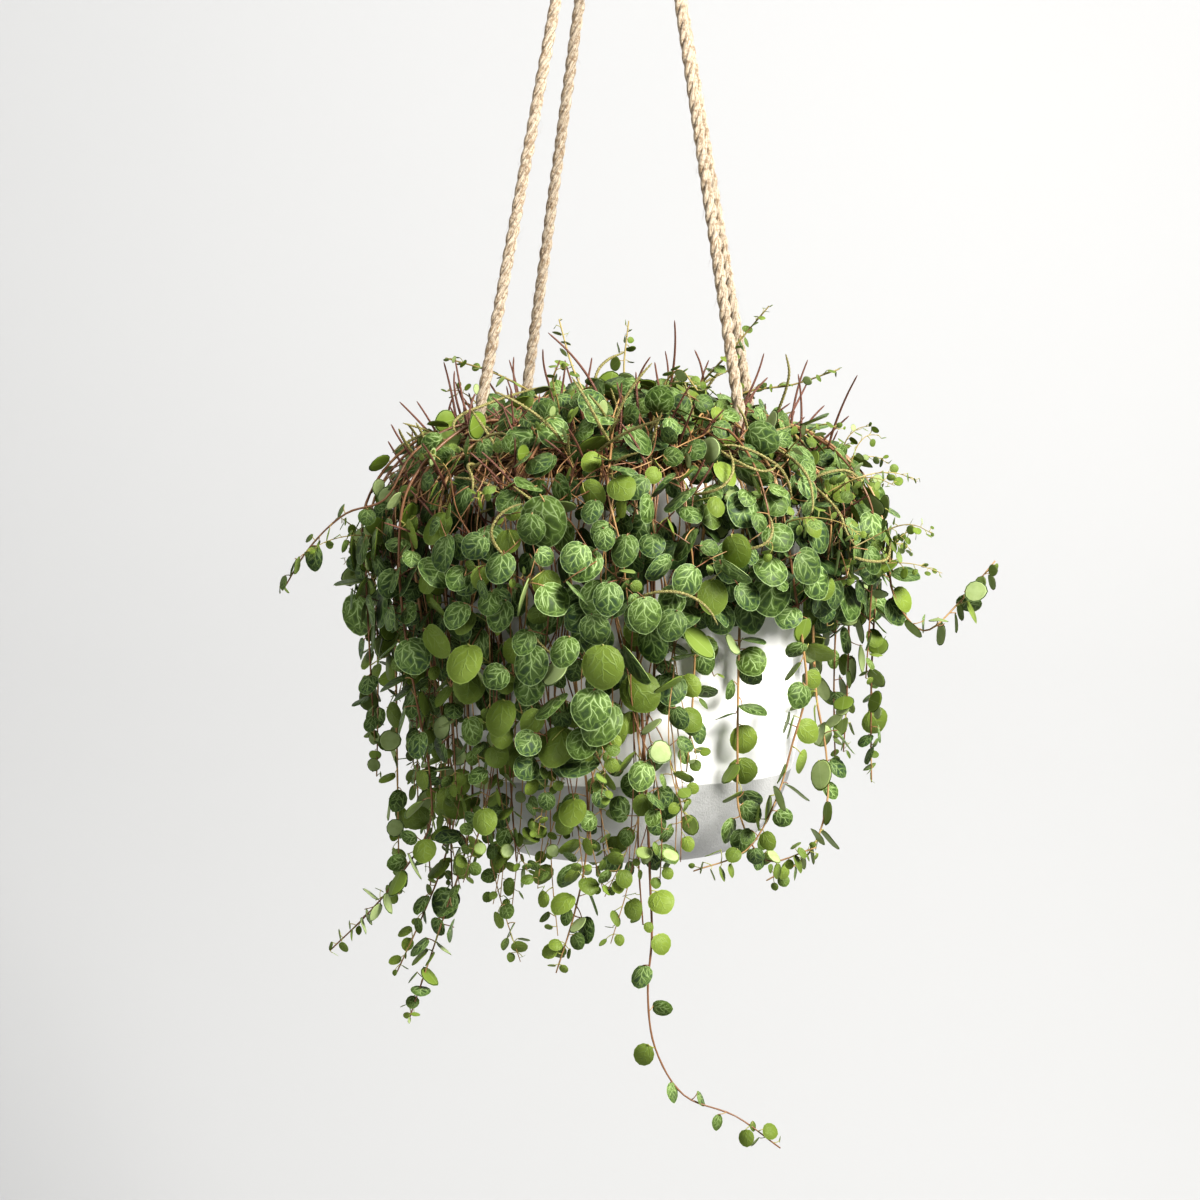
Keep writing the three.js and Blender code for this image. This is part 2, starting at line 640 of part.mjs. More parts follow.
stems.forEach(({ name, points }, stem) => {
  const isShoot = name.startsWith('shoot');
  const largest = isShoot ? LEAF_LARGEST * YOUNG_SIZE : LEAF_LARGEST;
  const leaves = growLeaves(points, stem, thicket, largest);
  const pieces = [tube(points, STEM_RADIUS, STEM_SIDES, 1), ...leaves.map(leafGeometry)];
  if (!isShoot && stem % 2 === 0) {
    const spike = spikePoints(points, stem);
    const samples = stations(spike, 1.5).places.slice(3).map(({ at }) => at);
    if (thicket.isFree(samples, stem) && samples.every((sample) => clearsPot(sample, SPIKE_MARGIN))) {
      thicket.claim(samples, LEAF_OWNER);
      pieces.push(tube(spike, SPIKE_RADIUS, STEM_SIDES, 1));
    }
  }
  const joined = wasm.Manifold.union(pieces.map(solidOf)).translate(0, 0, RIM_Z);
  addMesh(name, geometryOf(joined), isShoot ? COLOURS.youngLeaf : COLOURS.leaf, 0.5);

  const depth = ROOT_DEPTH + GAP + SOIL_CROWN + 10;
  const hole = new THREE.CylinderGeometry(ROOT_HOLE_RADIUS, ROOT_HOLE_RADIUS, depth,
    ROOT_HOLE_SIDES).rotateX(Math.PI / 2);
  const root = points[0];
  hole.translate(root.x, root.y, RIM_Z + root.z - GAP + depth / 2);
  soil = soil.subtract(solidOf(hole));
});
addMesh('soil', geometryOf(soil), COLOURS.soil, 0.95);

export default group;
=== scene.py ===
"""Looks of a potted string of turtles: jute ropes, a two-tone ceramic pot, soil and trailing foliage."""
import logging
import math
from collections.abc import Iterable, Sequence
from dataclasses import dataclass, field, replace
from enum import Enum

import bmesh
import bpy
import numpy as np
from mathutils import Matrix, Vector, noise


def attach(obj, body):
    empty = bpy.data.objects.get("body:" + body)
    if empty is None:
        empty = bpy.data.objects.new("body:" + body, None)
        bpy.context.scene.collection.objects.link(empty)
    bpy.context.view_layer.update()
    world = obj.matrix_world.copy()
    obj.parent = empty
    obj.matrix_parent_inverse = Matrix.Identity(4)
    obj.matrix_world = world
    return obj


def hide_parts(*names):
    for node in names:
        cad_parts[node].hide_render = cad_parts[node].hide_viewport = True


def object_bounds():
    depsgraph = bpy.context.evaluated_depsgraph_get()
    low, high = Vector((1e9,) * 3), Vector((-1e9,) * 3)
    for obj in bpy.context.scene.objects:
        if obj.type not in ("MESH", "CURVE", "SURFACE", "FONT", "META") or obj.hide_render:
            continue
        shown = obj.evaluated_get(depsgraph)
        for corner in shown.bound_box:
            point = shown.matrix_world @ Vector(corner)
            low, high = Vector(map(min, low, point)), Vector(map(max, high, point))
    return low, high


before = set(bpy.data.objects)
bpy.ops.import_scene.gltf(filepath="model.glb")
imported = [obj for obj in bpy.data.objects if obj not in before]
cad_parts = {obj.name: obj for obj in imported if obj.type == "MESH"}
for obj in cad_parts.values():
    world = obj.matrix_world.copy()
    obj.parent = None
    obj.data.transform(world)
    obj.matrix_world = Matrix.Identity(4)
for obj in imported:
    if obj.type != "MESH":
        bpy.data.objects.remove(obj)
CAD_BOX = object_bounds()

log = logging.getLogger("string_of_turtles")
MM = 0.001
ORIGIN = Vector((0, 0, 0))
Z_AXIS = Vector((0, 0, 1))


class Slot(Enum):
    """Names of material slots."""

    CERAMIC = "pot_ceramic"
    SOIL = "potting_soil"
    JUTE = "jute_rope"
    FOLIAGE = "foliage"


class Tissue(Enum):
    """Places of the plant's materials in the slots of a foliage mesh."""

    STEM = 0
    BLADE = 1
    UNDERSIDE = 2
    SPIKE = 3


# Numbers and routes


def draw(*keys: int) -> float:
    """Draw a repeatable number from 0 to 1.

    Args:
        keys: whole numbers that name the draw.

    Returns:
        The same number for the same keys.
    """
    value = 0x2545F491
    for key in keys:
        value = ((value ^ (key + 1)) * 0x9E3779B1) & 0xFFFFFFFF
        value ^= value >> 15
    value = ((value ^ (value >> 13)) * 0x85EBCA6B) & 0xFFFFFFFF
    value ^= value >> 16
    return value / 4294967296


def between(low: float, high: float, *keys: int) -> float:
    """Return a repeatable draw between two numbers."""
    return low + (high - low) * draw(*keys)


def mix(low: float, high: float, share: float) -> float:
    """Return the number that lies the given share of the way from low to high."""
    return low * (1 - share) + high * share


def unit(vector: np.ndarray) -> np.ndarray:
    """Return the vector at length one."""
    return vector / math.sqrt(vector.dot(vector))


def cross(first: np.ndarray, second: np.ndarray) -> np.ndarray:
    """Return the vector square to two others."""
    ax, ay, az = first.tolist()
    bx, by, bz = second.tolist()
    return np.array([ay * bz - az * by, az * bx - ax * bz, ax * by - ay * bx])


def polar(azimuth: float, radius: float, z: float) -> np.ndarray:
    """Return the point at an azimuth in degrees, a radius and a height."""
    turn = math.radians(azimuth)
    return np.array([radius * math.cos(turn), radius * math.sin(turn), z])


def turned(vector: np.ndarray, axis: np.ndarray, angle: float) -> np.ndarray:
    """Return the vector turned about a unit axis by an angle in radians."""
    cosine, sine = math.cos(angle), math.sin(angle)
    return vector * cosine + cross(axis, vector) * sine + axis * (axis.dot(vector) * (1 - cosine))


class Route:
    """A smooth centripetal curve through points, stepped evenly between them."""

    def __init__(self, points: Sequence[np.ndarray]) -> None:
        """Keep the points and the two that extend them."""
        inner = [np.asarray(point, float) for point in points]
        self.points = [2 * inner[0] - inner[1], *inner, 2 * inner[-1] - inner[-2]]
        self.spans = len(inner) - 1

    def at(self, share: float) -> np.ndarray:
        """Return the point at a share of the way, from 0 to 1."""
        step = min(share, 1) * self.spans
        span = min(int(step), self.spans - 1)
        t = step - span
        x0, x1, x2, x3 = self.points[span:span + 4]
        d0, d1, d2 = (float(np.sum((b - a) ** 2)) ** 0.25 for a, b in ((x0, x1), (x1, x2), (x2, x3)))
        d1 = d1 if d1 >= 1e-4 else 1.0
        d0, d2 = (d if d >= 1e-4 else d1 for d in (d0, d2))
        t1 = ((x1 - x0) / d0 - (x2 - x0) / (d0 + d1) + (x2 - x1) / d1) * d1
        t2 = ((x2 - x1) / d1 - (x3 - x1) / (d1 + d2) + (x3 - x2) / d2) * d1
        return x1 + t1 * t + (3 * (x2 - x1) - 2 * t1 - t2) * t ** 2 + (2 * (x1 - x2) + t1 + t2) * t ** 3

    def sampled(self, per_span: int) -> np.ndarray:
        """Return the curve's points at so many steps a span."""
        count = per_span * self.spans
        return np.array([self.at(i / count) for i in range(count + 1)])


@dataclass
class Walk:
    """Evenly spaced places along straight spans, with the direction of growth at each."""

    points: np.ndarray
    spacing: float
    at: np.ndarray = field(init=False)
    along: np.ndarray = field(init=False)
    length: float = field(init=False)

    def __post_init__(self) -> None:
        """Set the places out."""
        steps = np.diff(self.points, axis=0)
        spans = np.linalg.norm(steps, axis=1)
        reached = np.concatenate([[0], np.cumsum(spans)])
        self.length = float(reached[-1])
        walked = np.arange(int(self.length / self.spacing) + 1) * self.spacing
        span = np.clip(np.searchsorted(reached, walked, side="left") - 1, 0, len(spans) - 1)
        self.along = steps[span] / spans[span, None]
        self.at = self.points[span] + self.along * (walked - reached[span])[:, None]


# Meshes


@dataclass(frozen=True)
class Shape:
    """A modelled form kept as arrays, so that it can be copied many times."""

    points: np.ndarray
    corners: np.ndarray
    sizes: np.ndarray
    finish: np.ndarray
    smooth: np.ndarray
    uv: np.ndarray

    @classmethod
    def of(cls, form: bmesh.types.BMesh) -> "Shape":
        """Take a form's points, faces and UV map, and free it.

        Args:
            form: the modelled form, with a UV layer.

        Returns:
            The same form as arrays.
        """
        form.verts.index_update()
        layer = form.loops.layers.uv.verify()
        faces = [[loop.vert.index for loop in face.loops] for face in form.faces]
        shape = cls(
            np.array([vert.co[:] for vert in form.verts]),
            np.array([index for face in faces for index in face]),
            np.array([len(face) for face in faces]),
            np.array([face.material_index for face in form.faces]),
            np.array([face.smooth for face in form.faces]),
            np.array([loop[layer].uv[:] for face in form.faces for loop in face.loops]),
        )
        form.free()
        return shape


class Cluster:
    """Copies of modelled shapes gathered into one mesh."""

    def __init__(self) -> None:
        """Start empty."""
        self.parts: list[tuple[Shape, np.ndarray, tuple[float, float, float]]] = []

    def add(self, shape: Shape, matrix: np.ndarray | None = None,
            growth_and_depth_shade: tuple[float, float, float] = (0.5, 0.0, 0.0)) -> None:
        """Add a copy of a shape.

        Args:
            shape: the form to copy.
            matrix: its place, 3 rows of 4 numbers, or None to leave it where it is.
            growth_and_depth_shade: tint, youth and pattern seed of the copy; a youth below zero is painted shade for
                a leaf deep inside the canopy.
        """
        points = shape.points if matrix is None else shape.points @ matrix[:, :3].T + matrix[:, 3]
        self.parts.append((shape, points, growth_and_depth_shade))

    def build(self, name: str, materials: Sequence[bpy.types.Material]) -> bpy.types.Object:
        """Make the object.

        Args:
            name: the piece's name.
            materials: its materials, in the order that the shapes' faces name them.

        Returns:
            The object, at the origin with its place in its mesh.
        """
        counts = [len(shape.points) for shape, _, _ in self.parts]
        starts = np.concatenate([[0], np.cumsum(counts)[:-1]])
        points = np.concatenate([points for _, points, _ in self.parts])
        corners = np.concatenate([part[0].corners + start for part, start in zip(self.parts, starts)])
        sizes = np.concatenate([shape.sizes for shape, _, _ in self.parts])
        mesh = bpy.data.meshes.new(name)
        mesh.vertices.add(len(points))
        mesh.vertices.foreach_set("co", points.astype(np.float32).ravel())
        mesh.loops.add(len(corners))
        mesh.loops.foreach_set("vertex_index", corners.astype(np.int32))
        mesh.polygons.add(len(sizes))
        mesh.polygons.foreach_set("loop_start", (np.cumsum(sizes) - sizes).astype(np.int32))
        mesh.polygons.foreach_set("material_index", np.concatenate(
            [shape.finish for shape, _, _ in self.parts]).astype(np.int32))
        mesh.polygons.foreach_set("use_smooth", np.concatenate([shape.smooth for shape, _, _ in self.parts]))
        uv = np.concatenate([shape.uv for shape, _, _ in self.parts]).astype(np.float32)
        mesh.uv_layers.new(name="UVMap").data.foreach_set("uv", uv.ravel())
        growth_and_depth_shade = np.repeat([growth_and_depth_shade for _, _, growth_and_depth_shade in self.parts], counts, axis=0)
        mesh.attributes.new("growth_and_depth_shade", "FLOAT_VECTOR", "POINT").data.foreach_set(
            "vector", growth_and_depth_shade.astype(np.float32).ravel())
        for material in materials:
            mesh.materials.append(material)
        mesh.update(calc_edges=True)
        mesh.validate()
        piece = bpy.data.objects.new(name, mesh)
        bpy.context.scene.collection.objects.link(piece)
        return piece


def object_of(name: str, form: bmesh.types.BMesh, material: bpy.types.Material) -> bpy.types.Object:
    """Make a smooth object of a form with one material, and free the form."""
    mesh = bpy.data.meshes.new(name)
    form.to_mesh(mesh)
    form.free()
    mesh.materials.append(material)
    mesh.polygons.foreach_set("use_smooth", np.ones(len(mesh.polygons), bool))
    piece = bpy.data.objects.new(name, mesh)
    bpy.context.scene.collection.objects.link(piece)
    return piece


def sweep(path: np.ndarray, radii: Sequence[float] | float, sides: int, finish: int = 0) -> Shape:
    """Extrude a ring along a path and close both ends.

    Args:
        path: the centre line's points.
        radii: the radius at each point, or one for all.
        sides: how many sides the ring has.
        finish: the faces' material index.

    Returns:
        The tube. Its UV map has the share round the ring and the distance along it in centimetres.
    """
    radii = np.broadcast_to(radii, len(path))
    form = bmesh.new()
    around = form.verts.layers.float.new("around")
    along = form.verts.layers.float.new("along")
    ring = bmesh.ops.create_circle(form, segments=sides, radius=1)["verts"]
    for vert in ring:
        vert[around] = (math.atan2(vert.co.y, vert.co.x) / math.tau) % 1
    places = tube_places(path, radii)
    bmesh.ops.transform(form, matrix=places[0], verts=ring)
    edges = form.edges[:]
    first = edges
    run = 0.0
    for i in range(1, len(places)):
        run += float(np.linalg.norm(path[i] - path[i - 1]))
        grown = bmesh.ops.extrude_edge_only(form, edges=edges)["geom"]
        ring = [item for item in grown if isinstance(item, bmesh.types.BMVert)]
        edges = [item for item in grown if isinstance(item, bmesh.types.BMEdge)]
        bmesh.ops.transform(form, matrix=places[i] @ places[i - 1].inverted(), verts=ring)
        for vert in ring:
            vert[along] = run
    bmesh.ops.edgeloop_fill(form, edges=first)
    bmesh.ops.edgeloop_fill(form, edges=edges)
    bmesh.ops.recalc_face_normals(form, faces=form.faces[:])
    layer = form.loops.layers.uv.verify()
    for face in form.faces:
        face.material_index, face.smooth = finish, True
        wraps = len(face.verts) == 4 and max(v[around] for v in face.verts) > 0.75
        for loop in face.loops:
            turn = loop.vert[around]
            loop[layer].uv = (turn + 1 if wraps and turn < 0.25 else turn, 100 * loop.vert[along])
    return Shape.of(form)


def tube_frames(path: np.ndarray) -> list[tuple[Vector, Vector, Vector]]:
    """Return two square directions and the way ahead at each point of a path, without twist."""
    line = [Vector(point) for point in path]
    ways = [(line[min(i + 1, len(line) - 1)] - line[max(i - 1, 0)]).normalized() for i in range(len(line))]
    normal = ways[0].orthogonal().normalized()
    frames = []
    for i, way in enumerate(ways):
        if i:
            normal = ways[i - 1].rotation_difference(way) @ normal
        frames.append((normal.copy(), way.cross(normal), way))
    return frames


def tube_places(path: np.ndarray, radii: Sequence[float]) -> list[Matrix]:
    """Return the matrix that places and sizes the ring at each point of a path."""
    places = []
    for point, radius, (normal, beside, way) in zip(path, radii, tube_frames(path)):
        turn = Matrix((normal, beside, way)).transposed().to_4x4()
        places.append(Matrix.Translation(Vector(point)) @ turn @ Matrix.Scale(float(radius), 4))
    return places


def spun(profile: Sequence[tuple[float, float]], steps: int) -> bmesh.types.BMesh:
    """Spin a profile of radius and height pairs all the way round Z.

    Args:
        profile: the pairs, which start and end on the axis.
        steps: how many steps the turn has.

    Returns:
        The closed form, with its faces pointing out.
    """
    form = bmesh.new()
    verts = [form.verts.new((radius, 0, height)) for radius, height in profile]
    edges = [form.edges.new(pair) for pair in zip(verts, verts[1:])]
    bmesh.ops.spin(form, geom=verts + edges, cent=ORIGIN, axis=Z_AXIS, dvec=ORIGIN,
                   angle=math.tau, steps=steps, use_merge=True, use_duplicate=False)
    bmesh.ops.remove_doubles(form, verts=form.verts[:], dist=1e-6)
    bmesh.ops.recalc_face_normals(form, faces=form.faces[:])
    return form


def install(piece: bpy.types.Object, nodes: Iterable[str] = ()) -> bpy.types.Object:
    """Ride a piece on the body and stand it for its CAD nodes."""
    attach(piece, "root")
    for node in nodes:
        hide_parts(node)
    log.info("%s: %d faces", piece.name, len(piece.data.polygons))
    return piece


# Finishes

Colour = tuple[float, float, float]
Input = bpy.types.NodeSocket | float | Sequence[float]


class Shading:
    """The node tree of one finish, wired up step by step."""

    def __init__(self, name: str, roughness: float) -> None:
        """Start a material with its shader at one roughness."""
        self.material = bpy.data.materials.new(name)
        self.material.use_nodes = True
        self.tree = self.material.node_tree
        self.shader = self.tree.nodes["Principled BSDF"]
        self.shader.inputs["Roughness"].default_value = roughness

    def put(self, kind: str, inputs: dict[str | int, Input], output: str | int = 0,
            **settings: str | bool) -> bpy.types.NodeSocket:
        """Add a node.

        Args:
            kind: the node's type, without its ShaderNode prefix.
            inputs: a link or a value for each named or numbered input.
            output: the output to return.
            settings: the node's own properties.

        Returns:
            The node's output.
        """
        node = self.tree.nodes.new("ShaderNode" + kind)
        for key, value in settings.items():
            setattr(node, key, value)
        for key, value in inputs.items():
            self.join(value, node.inputs[key])
        return node.outputs[output]

    def join(self, value: Input, socket: bpy.types.NodeSocket) -> None:
        """Link a socket to an input, or set its value."""
        if isinstance(value, bpy.types.NodeSocket):
            self.tree.links.new(value, socket)
        elif socket.type == "RGBA":
            socket.default_value = (*value, 1)
        else:
            socket.default_value = value

    def shade(self, **values: Input) -> None:
        """Join values to the shader's sockets, named with _ for a blank."""
        for key, value in values.items():
            self.join(value, self.shader.inputs[key.replace("_", " ")])

    def math(self, operation: str, first: Input, second: Input = 0.0) -> bpy.types.NodeSocket:
        """Return the result of an operation on one or two numbers."""
        return self.put("Math", {0: first, 1: second}, operation=operation)

    def mix(self, share: Input, first: Input, second: Input) -> bpy.types.NodeSocket:
        """Return a colour the given share of the way from first to second."""
        return self.put("Mix", {0: share, 6: first, 7: second}, 2, data_type="RGBA")

    def step(self, value: Input, low: float, high: float, start: float = 0.0,
             end: float = 1.0) -> bpy.types.NodeSocket:
        """Return a smooth change from start to end as a value goes from low to high."""
        return self.put("MapRange", {"Value": value, 1: low, 2: high, 3: start, 4: end},
                        interpolation_type="SMOOTHSTEP")

    def noise(self, where: Input, scale: float, detail: float = 3.0,
              roughness: float = 0.55) -> bpy.types.NodeSocket:
        """Return a noise from 0 to 1 at a place."""
        return self.put("TexNoise", {"Vector": where, "Scale": scale, "Detail": detail,
                                     "Roughness": roughness})

    def place(self) -> bpy.types.NodeSocket:
        """Return the place on the object, in metres."""
        return self.put("TexCoord", {}, "Object")

    def split(self, vector: Input) -> tuple[bpy.types.NodeSocket, ...]:
        """Return a vector's three numbers."""
        node = self.put("SeparateXYZ", {0: vector}).node
        return tuple(node.outputs)

    def merge(self, x: Input, y: Input, z: Input = 0.0) -> bpy.types.NodeSocket:
        """Return a vector of three numbers."""
        return self.put("CombineXYZ", {0: x, 1: y, 2: z})

    def relief(self, height: Input, depth: float, below: Input | None = None) -> bpy.types.NodeSocket:
        """Return the normal of a relief that is depth metres from its lowest to its highest."""
        inputs = {"Height": height, "Strength": 1.0, "Distance": depth}
        if below is not None:
            inputs["Normal"] = below
        return self.put("Bump", inputs)

    def growth_and_depth_shade(self) -> tuple[bpy.types.NodeSocket, ...]:
        """Return tint, youth and pattern seed of a copied shape; a youth below zero is painted shade."""
        return self.split(self.put("Attribute", {}, "Vector", attribute_name="growth_and_depth_shade"))


@dataclass(frozen=True)
class JuteFinish:
    """Twisted jute: pale straw fibres with browner streaks, along each strand."""

    pale: Colour = (0.70, 0.585, 0.44)
    mid: Colour = (0.52, 0.40, 0.265)
    streak: Colour = (0.26, 0.165, 0.085)

    def material(self) -> bpy.types.Material:
        """Return the finish's material."""
        shading = Shading("jute", 0.85)
        turn, run, _ = shading.split(shading.put("UVMap", {}, uv_map="UVMap"))
        angle = shading.math("MULTIPLY", turn, math.tau)
        fibres = shading.merge(shading.math("COSINE", angle), shading.math("SINE", angle),
                               shading.math("MULTIPLY", run, 0.42))
        fine = shading.noise(fibres, 5.5, 4, 0.65)
        coarse = shading.noise(shading.place(), 480, 3, 0.6)
        colour = shading.mix(shading.step(fine, 0.36, 0.56), self.mid, self.pale)
        colour = shading.mix(shading.step(fine, 0.50, 0.38), colour, self.streak)
        colour = shading.mix(shading.step(coarse, 0.48, 0.62, 0.0, 0.8), colour, self.streak)
        shading.shade(Base_Color=colour, Sheen_Weight=0.25, Sheen_Roughness=0.5, Specular_IOR_Level=0.2,
                      Normal=shading.relief(fine, 0.0014))
        return shading.material


@dataclass(frozen=True)
class PotFinish:
    """White satin glaze over a fine grey matt body, with a crisp line between them."""

    line: float = -0.599
    glaze: Colour = (0.86, 0.855, 0.85)
    shade: Colour = (0.80, 0.79, 0.775)
    body: Colour = (0.47, 0.47, 0.465)
    body_dark: Colour = (0.36, 0.36, 0.355)

    def material(self) -> bpy.types.Material:
        """Return the finish's material."""
        shading = Shading("pot_two_tone", 0.5)
        where = shading.place()
        _, _, height = shading.split(where)
        drift = shading.math("MULTIPLY", shading.noise(where, 60, 2), 0.0012)
        edge = shading.math("ADD", height, drift)
        white = shading.step(edge, self.line + 0.0001, self.line + 0.0009)
        cloud = shading.noise(where, 22, 4)
        grain = shading.noise(where, 900, 3, 0.7)
        glaze = shading.mix(shading.step(cloud, 0.35, 0.7), self.glaze, self.shade)
        body = shading.mix(shading.step(cloud, 0.3, 0.7), self.body, self.body_dark)
        body = shading.mix(shading.step(grain, 0.45, 0.3, 0.0, 0.5), body, self.body_dark)
        rough = shading.step(white, 0, 1, 0.82, 0.36)
        lip = shading.relief(white, 0.0003)
        tooth = shading.math("MULTIPLY", grain, shading.step(white, 0, 1, 1, 0.04))
        shading.shade(Base_Color=shading.mix(white, body, glaze), Roughness=rough,
                      Normal=shading.relief(tooth, 0.00035, lip))
        return shading.material


@dataclass(frozen=True)
class SoilFinish:
    """Dark, damp potting soil with paler crumbs and fibres."""

    dark: Colour = (0.028, 0.018, 0.012)
    crumb: Colour = (0.10, 0.062, 0.036)

    def material(self) -> bpy.types.Material:
        """Return the finish's material."""
        shading = Shading("potting_soil", 0.95)
        where = shading.place()
        grain = shading.noise(where, 420, 5, 0.7)
        patch = shading.noise(where, 70, 2)
        colour = shading.mix(shading.step(grain, 0.4, 0.7), self.dark, self.crumb)
        colour = shading.mix(shading.step(patch, 0.5, 0.7, 0.0, 0.6), colour, self.dark)
        shading.shade(Base_Color=colour, Normal=shading.relief(grain, 0.002))
        return shading.material


@dataclass(frozen=True)
class BladeFinish:
    """Upper side of a leaf: dark bluish cells in a pale net, plainer and yellower when young, with painted shade on
    leaves deep inside the canopy.
    """

    cell: Colour = (0.034, 0.062, 0.044)
    cell_warm: Colour = (0.042, 0.072, 0.016)
    cell_edge: Colour = (0.128, 0.205, 0.044)
    vein: Colour = (0.46, 0.59, 0.28)
    young: Colour = (0.18, 0.24, 0.038)
    # shade is a painted shade colour for leaves that lie deep inside the canopy; it also darkens some leaves at
    # random
    shade: Colour = (0.010, 0.026, 0.003)
    cells: float = 1.2
    branch_step: float = 0.56
    teeth: float = 11.0
    vein_width: float = 0.023

    def material(self) -> bpy.types.Material:
        """Return the finish's material."""
        shading = Shading("leaf_blade", 0.48)
        tint, youth_and_depth_shade, seed = shading.growth_and_depth_shade()
        u, v, _ = shading.split(shading.put("UVMap", {}, uv_map="UVMap"))
        x = shading.math("MULTIPLY", shading.math("SUBTRACT", u, 0.5), 2)
        y = shading.math("MULTIPLY", shading.math("SUBTRACT", v, 0.5), 2)
        reach = shading.math("SQRT", shading.math("ADD", shading.math("MULTIPLY", x, x),
                                                  shading.math("MULTIPLY", y, y)))
        warp = shading.put("TexNoise", {"Vector": shading.merge(x, y, seed), "Scale": 1.7, "Detail": 1.0},
                           "Color")
        drift = shading.put("VectorMath", {0: warp, 1: (0.5, 0.5, 0.5)}, operation="SUBTRACT")
        bent_x, bent_y, _ = shading.split(shading.put("VectorMath", {
            0: drift, 1: (0.40, 0.34, 0), 2: shading.merge(x, y)}, operation="MULTIPLY_ADD"))
        near = shading.math("ADD", self.netting(shading, bent_x, bent_y, seed, self.cells), 0.026)
        near = shading.math("ADD", near, shading.step(reach, 0.66, 0.8, 0.0, 0.14))
        for spread in (0.0, 1.0):
            rib = self.rib(shading, bent_x, bent_y, spread)
            rib = shading.math("ADD", rib, shading.step(reach, 0.6, 0.9, 0.0, 0.12))
            near = shading.math("MINIMUM", near, rib)
        near = shading.math("MINIMUM", near, self.branches(shading, bent_x, bent_y, reach))
        near = shading.math("MINIMUM", near, self.margin(shading, bent_x, bent_y, reach))
        near = shading.math("DIVIDE", near, shading.step(bent_y, -1.0, 0.6, 1.5, 0.8))
        line = shading.step(near, 0.0, self.vein_width * 2.4, 0.9, 0)
        halo = shading.step(near, self.vein_width * 1.0, self.vein_width * 7.3, 1, 0)
        rim = shading.step(reach, 0.93, 0.975, 0.0, 0.75)
        pale = shading.math("MAXIMUM", line, rim)
        pale = shading.math("MULTIPLY", pale, shading.step(youth_and_depth_shade, 0.0, 1.0, 0.72, 0.16))
        light = shading.math("FRACT", shading.math("MULTIPLY", tint, 7.31))
        cell = shading.mix(tint, self.cell, self.cell_warm)
        cell = shading.mix(shading.math("MULTIPLY", halo, 0.75), cell, self.cell_edge)
        cell = shading.mix(shading.math("MULTIPLY", youth_and_depth_shade, 0.9), cell, self.young)
        mottle = shading.noise(shading.merge(x, y, seed), 6, 2)
        colour = shading.mix(pale, cell, self.vein)
        colour = shading.mix(shading.step(light, 0.0, 1.0, 0.4, 0.0), colour, self.shade)
        # painted shade: a youth below zero marks a leaf deep inside the canopy, which is darkened towards the shade
        # colour
        colour = shading.mix(shading.step(youth_and_depth_shade, -1.0, 0.0, 0.72, 0.0), colour, self.shade)
        colour = shading.mix(shading.step(mottle, 0.45, 0.8, 0.0, 0.22), colour, self.cell_edge)
        height = shading.math("ADD", shading.math("MULTIPLY", line, -0.7),
                              shading.math("MULTIPLY", mottle, 0.5))
        shading.shade(Base_Color=colour, Specular_IOR_Level=0.15,
                      Normal=shading.relief(height, 0.00022))
        return shading.material

    def netting(self, shading: Shading, x: Input, y: Input, seed: Input, cells: float) -> bpy.types.NodeSocket:
        """Return the distance to the nearest wall of a net of so many cells to half a leaf."""
        net = shading.put("TexVoronoi", {"Vector": shading.merge(x, y, seed), "Scale": cells,
                                         "Randomness": 0.85}, feature="DISTANCE_TO_EDGE")
        return shading.math("DIVIDE", net, cells)

    def branches(self, shading: Shading, x: Input, y: Input, reach: Input) -> bpy.types.NodeSocket:
        """Return the distance to the side veins that leave the midrib slantwise, in turn left and right."""
        away = shading.math("POWER", shading.math("ABSOLUTE", x), 0.85)
        rise = shading.math("SUBTRACT", y, shading.math("MULTIPLY", away, 0.8))
        rise = shading.math("ADD", rise, shading.math("MULTIPLY", shading.math("SIGN", x), 0.13))
        turn = shading.math("FRACT", shading.math("ADD", shading.math("DIVIDE", rise, self.branch_step), 10.2))
        near = shading.math("ABSOLUTE", shading.math("SUBTRACT", turn, 0.5))
        near = shading.math("MULTIPLY", near, 0.78 * self.branch_step)
        return shading.math("ADD", near, shading.step(reach, 0.5, 0.9, 0.004, 0.04))

    def margin(self, shading: Shading, x: Input, y: Input, reach: Input) -> bpy.types.NodeSocket:
        """Return the distance to the short veins that run out to the margin, or to the loop they spring from."""
        turn = shading.math("MULTIPLY", shading.math("ARCTAN2", y, x), self.teeth / math.tau)
        tooth = shading.math("ABSOLUTE", shading.math("SUBTRACT", shading.math("FRACT", shading.math(
            "ADD", turn, 100.0)), 0.5))
        tooth = shading.math("MULTIPLY", tooth, math.tau * 0.85 / self.teeth)
        tooth = shading.math("ADD", tooth, shading.step(reach, 0.79, 0.71, 0.02, 0.2))
        bent = shading.math("SQRT", shading.math("ADD", shading.math("MULTIPLY", x, x),
                                                 shading.math("MULTIPLY", y, y)))
        arch = shading.math("ABSOLUTE", shading.math("SINE", shading.math("MULTIPLY", turn, math.pi * 0.54)))
        bent = shading.math("SUBTRACT", bent, shading.math("MULTIPLY", arch, 0.16))
        loop = shading.math("ADD", shading.math("ABSOLUTE", shading.math("SUBTRACT", bent, 0.66)), 0.024)
        return shading.math("MINIMUM", tooth, loop)

    def rib(self, shading: Shading, x: Input, y: Input, spread: float) -> bpy.types.NodeSocket:
        """Return the distance to the midrib, or to the pair of ribs that spread from the leaf's base."""
        ahead = shading.math("MAXIMUM", shading.math("ADD", y, 0.95), 0.0)
        away = shading.math("MULTIPLY", shading.math("POWER", ahead, 0.62), spread * 0.62)
        return shading.math("ABSOLUTE", shading.math("SUBTRACT", shading.math("ABSOLUTE", x), away))


